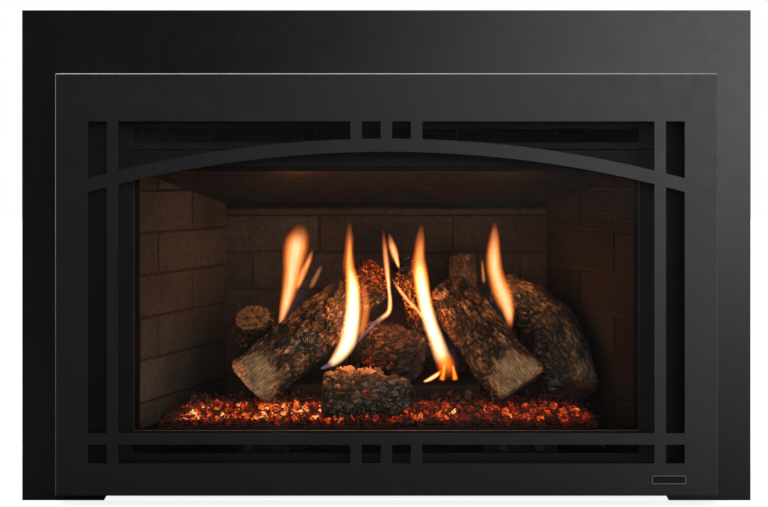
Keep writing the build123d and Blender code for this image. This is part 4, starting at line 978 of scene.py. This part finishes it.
def makeFlames():
    for number, (width, added) in enumerate(flameSkins):
        bm = bmesh.new()
        layers = {mark: bm.verts.layers.float.new(mark) for mark in ("done", "glow", "amber", "blue", "pale")}
        for flame in flames.values():
            flame = {**flameDefaults, **flame}
            line = [(x, flame["depth"], z, half) for x, z, half in flame["rows"]]
            addRod(bm, flameLook["sides"], flameLook["ringsPerRow"] * len(line))
            for vert in [v for v in bm.verts if v[layers["done"]] == 0.0]:
                share = vert.co.z + 0.5
                turn = math.atan2(vert.co.y, vert.co.x)
                within = 0.5 + (share - 0.5) * (0.8 + 0.2 * width)  # inner skins are shorter
                middle, run, side, lift, half = sectionAt(line, within)
                half = max(half, flameLook["thinnest"] * mm) * flameLook["swell"] * width
                half *= 1 + flameLook["wave"] * math.sin(9 * share + 2 * turn)
                vert.co = middle + side * math.cos(turn) * half
                vert.co += lift * math.sin(turn) * half * flameLook["flat"]
                for mark, value in {"done": 1.0, **flameMarks(flame, share)}.items():
                    vert[layers[mark]] = value
        bmesh.ops.recalc_face_normals(bm, faces=list(bm.faces))
        name = "flameSkin" + str(number + 1)
        finishPiece(name, bm, flameFinish(name, added), "appliance")


makeFlames()
print("flames made")


# a point lamp where it has no aim, else a rectangular one
def addLamp(name, lamp, place, aim=None):
    light = bpy.data.lights.new(name, "POINT" if aim is None else "AREA")
    light.energy = lamp["watts"]
    light.color = lamp.get("colour", (1, 1, 1))
    lampObject = bpy.data.objects.new(name, light)
    lampObject.location = place
    if aim is None:
        light.shadow_soft_size = lamp["size"]
    else:
        light.shape = "RECTANGLE"
        light.size, light.size_y = lamp["size"]
        lampObject.rotation_euler = (aim - place).to_track_quat("-Z", "Y").to_euler()
    bpy.context.collection.objects.link(lampObject)


# the fire's own light on the logs and bricks, and a soft light from the front of the opening: places are x,
# depth and z in millimetres, and sizes are in metres
fireLook = {"colour": (1.0, 0.38, 0.125), "size": 0.025}
fireLights = {
    "fireMiddle": {"place": (-54, 118, 296), "watts": 1.05},
    "fireCentre": {"place": (72, 150, 288), "watts": 0.27},
    "fireLeft": {"place": (-155, 165, 345), "watts": 0.3},
    "fireRight": {"place": (196, 180, 330), "watts": 0.3},
}
fill = {"place": (-45, 60, 196), "aim": (-45, 170, 190), "size": (0.66, 0.14), "watts": 0.21,
        "colour": (1.0, 0.74, 0.52)}
for lampName, lamp in fireLights.items():
    addLamp(lampName, {**fireLook, **lamp}, at(*lamp["place"]))
addLamp("fill", fill, at(*fill["place"]), at(*fill["aim"]))

# studio: a soft box overhead, which also draws a bright line along the folded edge, as the painted edge
# highlight does, and a dim strip at the left, in metres
softBoxes = {
    "overhead": {"place": (-0.2, -0.75, 2.3), "aim": (-0.1, -0.3, 0), "size": (2.2, 1.2), "watts": 22},
    "leftStrip": {"place": (-2.2, -0.35, 1.0), "aim": (-0.5, -0.2, 0.45), "size": (0.6, 1.6), "watts": 2.5},
}
for boxName, box in softBoxes.items():
    addLamp(boxName, box, Vector(box["place"]), Vector(box["aim"]))

# a room that is white behind the fireplace, and on the viewer's side dark but for one soft card to the right;
# card is the way to its middle, and near and far say how its edge fades
room = {"card": (0.52, -0.85, -0.03), "near": 0.25, "far": 0.61, "bright": 1.74, "dark": 0.05,
        "whiteFrom": (-0.1, 0.25)}
white = (1, 1, 1, 1)


def makeRoom():
    world = bpy.data.worlds.new("studio")
    bpy.context.scene.world = world
    tree = startTree(world)
    way = addNode(tree, "TexCoord").outputs["Generated"]
    offCard = addNode(tree, "VectorMath", {"operation": "DISTANCE"}, {0: way, 1: room["card"]})
    card = addNode(tree, "MapRange", {"interpolation_type": "SMOOTHSTEP"}, {
        "Value": offCard.outputs["Value"], "From Min": room["near"], "From Max": room["far"],
        "To Min": room["bright"], "To Max": room["dark"]}).outputs["Result"]
    behind = addRange(tree, addAxis(tree, way, "Y"), 0, 1, *room["whiteFrom"])
    light = addBlend(tree, behind, card, white)
    shown = addBlend(tree, addNode(tree, "LightPath").outputs["Is Camera Ray"], light, white)
    addSurface(tree, addNode(tree, "Background", inputs={"Color": shown, "Strength": 1.0}), "World")


makeRoom()

# the camera sees a white floor, lifted further out, and the black paint a dim one with a sheen that grows
# to the right and behind; the ranges are in metres
floorLook = {"reach": 14.0, "seen": (0.91, 0.94), "dim": (0.08, 0.095), "lift": 0.85, "liftFrom": (0.75, 1.6),
             "right": 0.34, "rightFrom": (0.25, 1.3), "back": 0.8, "backFrom": (0.25, 0.7)}


def floorFinish():
    finish = bpy.data.materials.new("floorPaint")
    tree = startTree(finish)
    coords = addCoords(tree)
    path = addNode(tree, "LightPath").outputs
    seen = addMath(tree, "MAXIMUM", path["Is Camera Ray"], path["Is Transmission Ray"])
    mottle = addNoise(tree, coords, 3)
    dim, pale = [addRamp(tree, mottle, [(0.3, grey(floorLook[tone][0])), (0.7, grey(floorLook[tone][1]))])
                 for tone in ("dim", "seen")]
    matt = addNode(tree, "BsdfDiffuse", inputs={"Color": addBlend(tree, seen, dim, pale)})
    away = addNode(tree, "VectorMath", {"operation": "LENGTH"}, {0: coords}).outputs["Value"]
    lift = addMath(tree, "MULTIPLY", addRange(tree, away, floorLook["lift"], 1, *floorLook["liftFrom"]), seen)
    right = addRange(tree, addAxis(tree, coords, "X"), 0, floorLook["right"], *floorLook["rightFrom"])
    back = addRange(tree, addAxis(tree, coords, "Y"), 0, floorLook["back"], *floorLook["backFrom"])
    sheen = addMath(tree, "MAXIMUM", right, back)
    power = addMath(tree, "MULTIPLY_ADD", sheen, path["Is Glossy Ray"], lift)
    glow = addNode(tree, "Emission", inputs={"Color": white, "Strength": power})
    addSurface(tree, addNode(tree, "AddShader", inputs={0: matt.outputs[0], 1: glow.outputs[0]}))
    return finish


def makeFloor():
    bm = bmesh.new()
    bmesh.ops.create_grid(bm, x_segments=8, y_segments=8, size=floorLook["reach"])
    mesh = bpy.data.meshes.new("floor")
    bm.to_mesh(mesh)
    bm.free()
    mesh.materials.append(floorFinish())
    floor = bpy.data.objects.new("floor", mesh)
    bpy.context.collection.objects.link(floor)


makeFloor()
print("studio made")
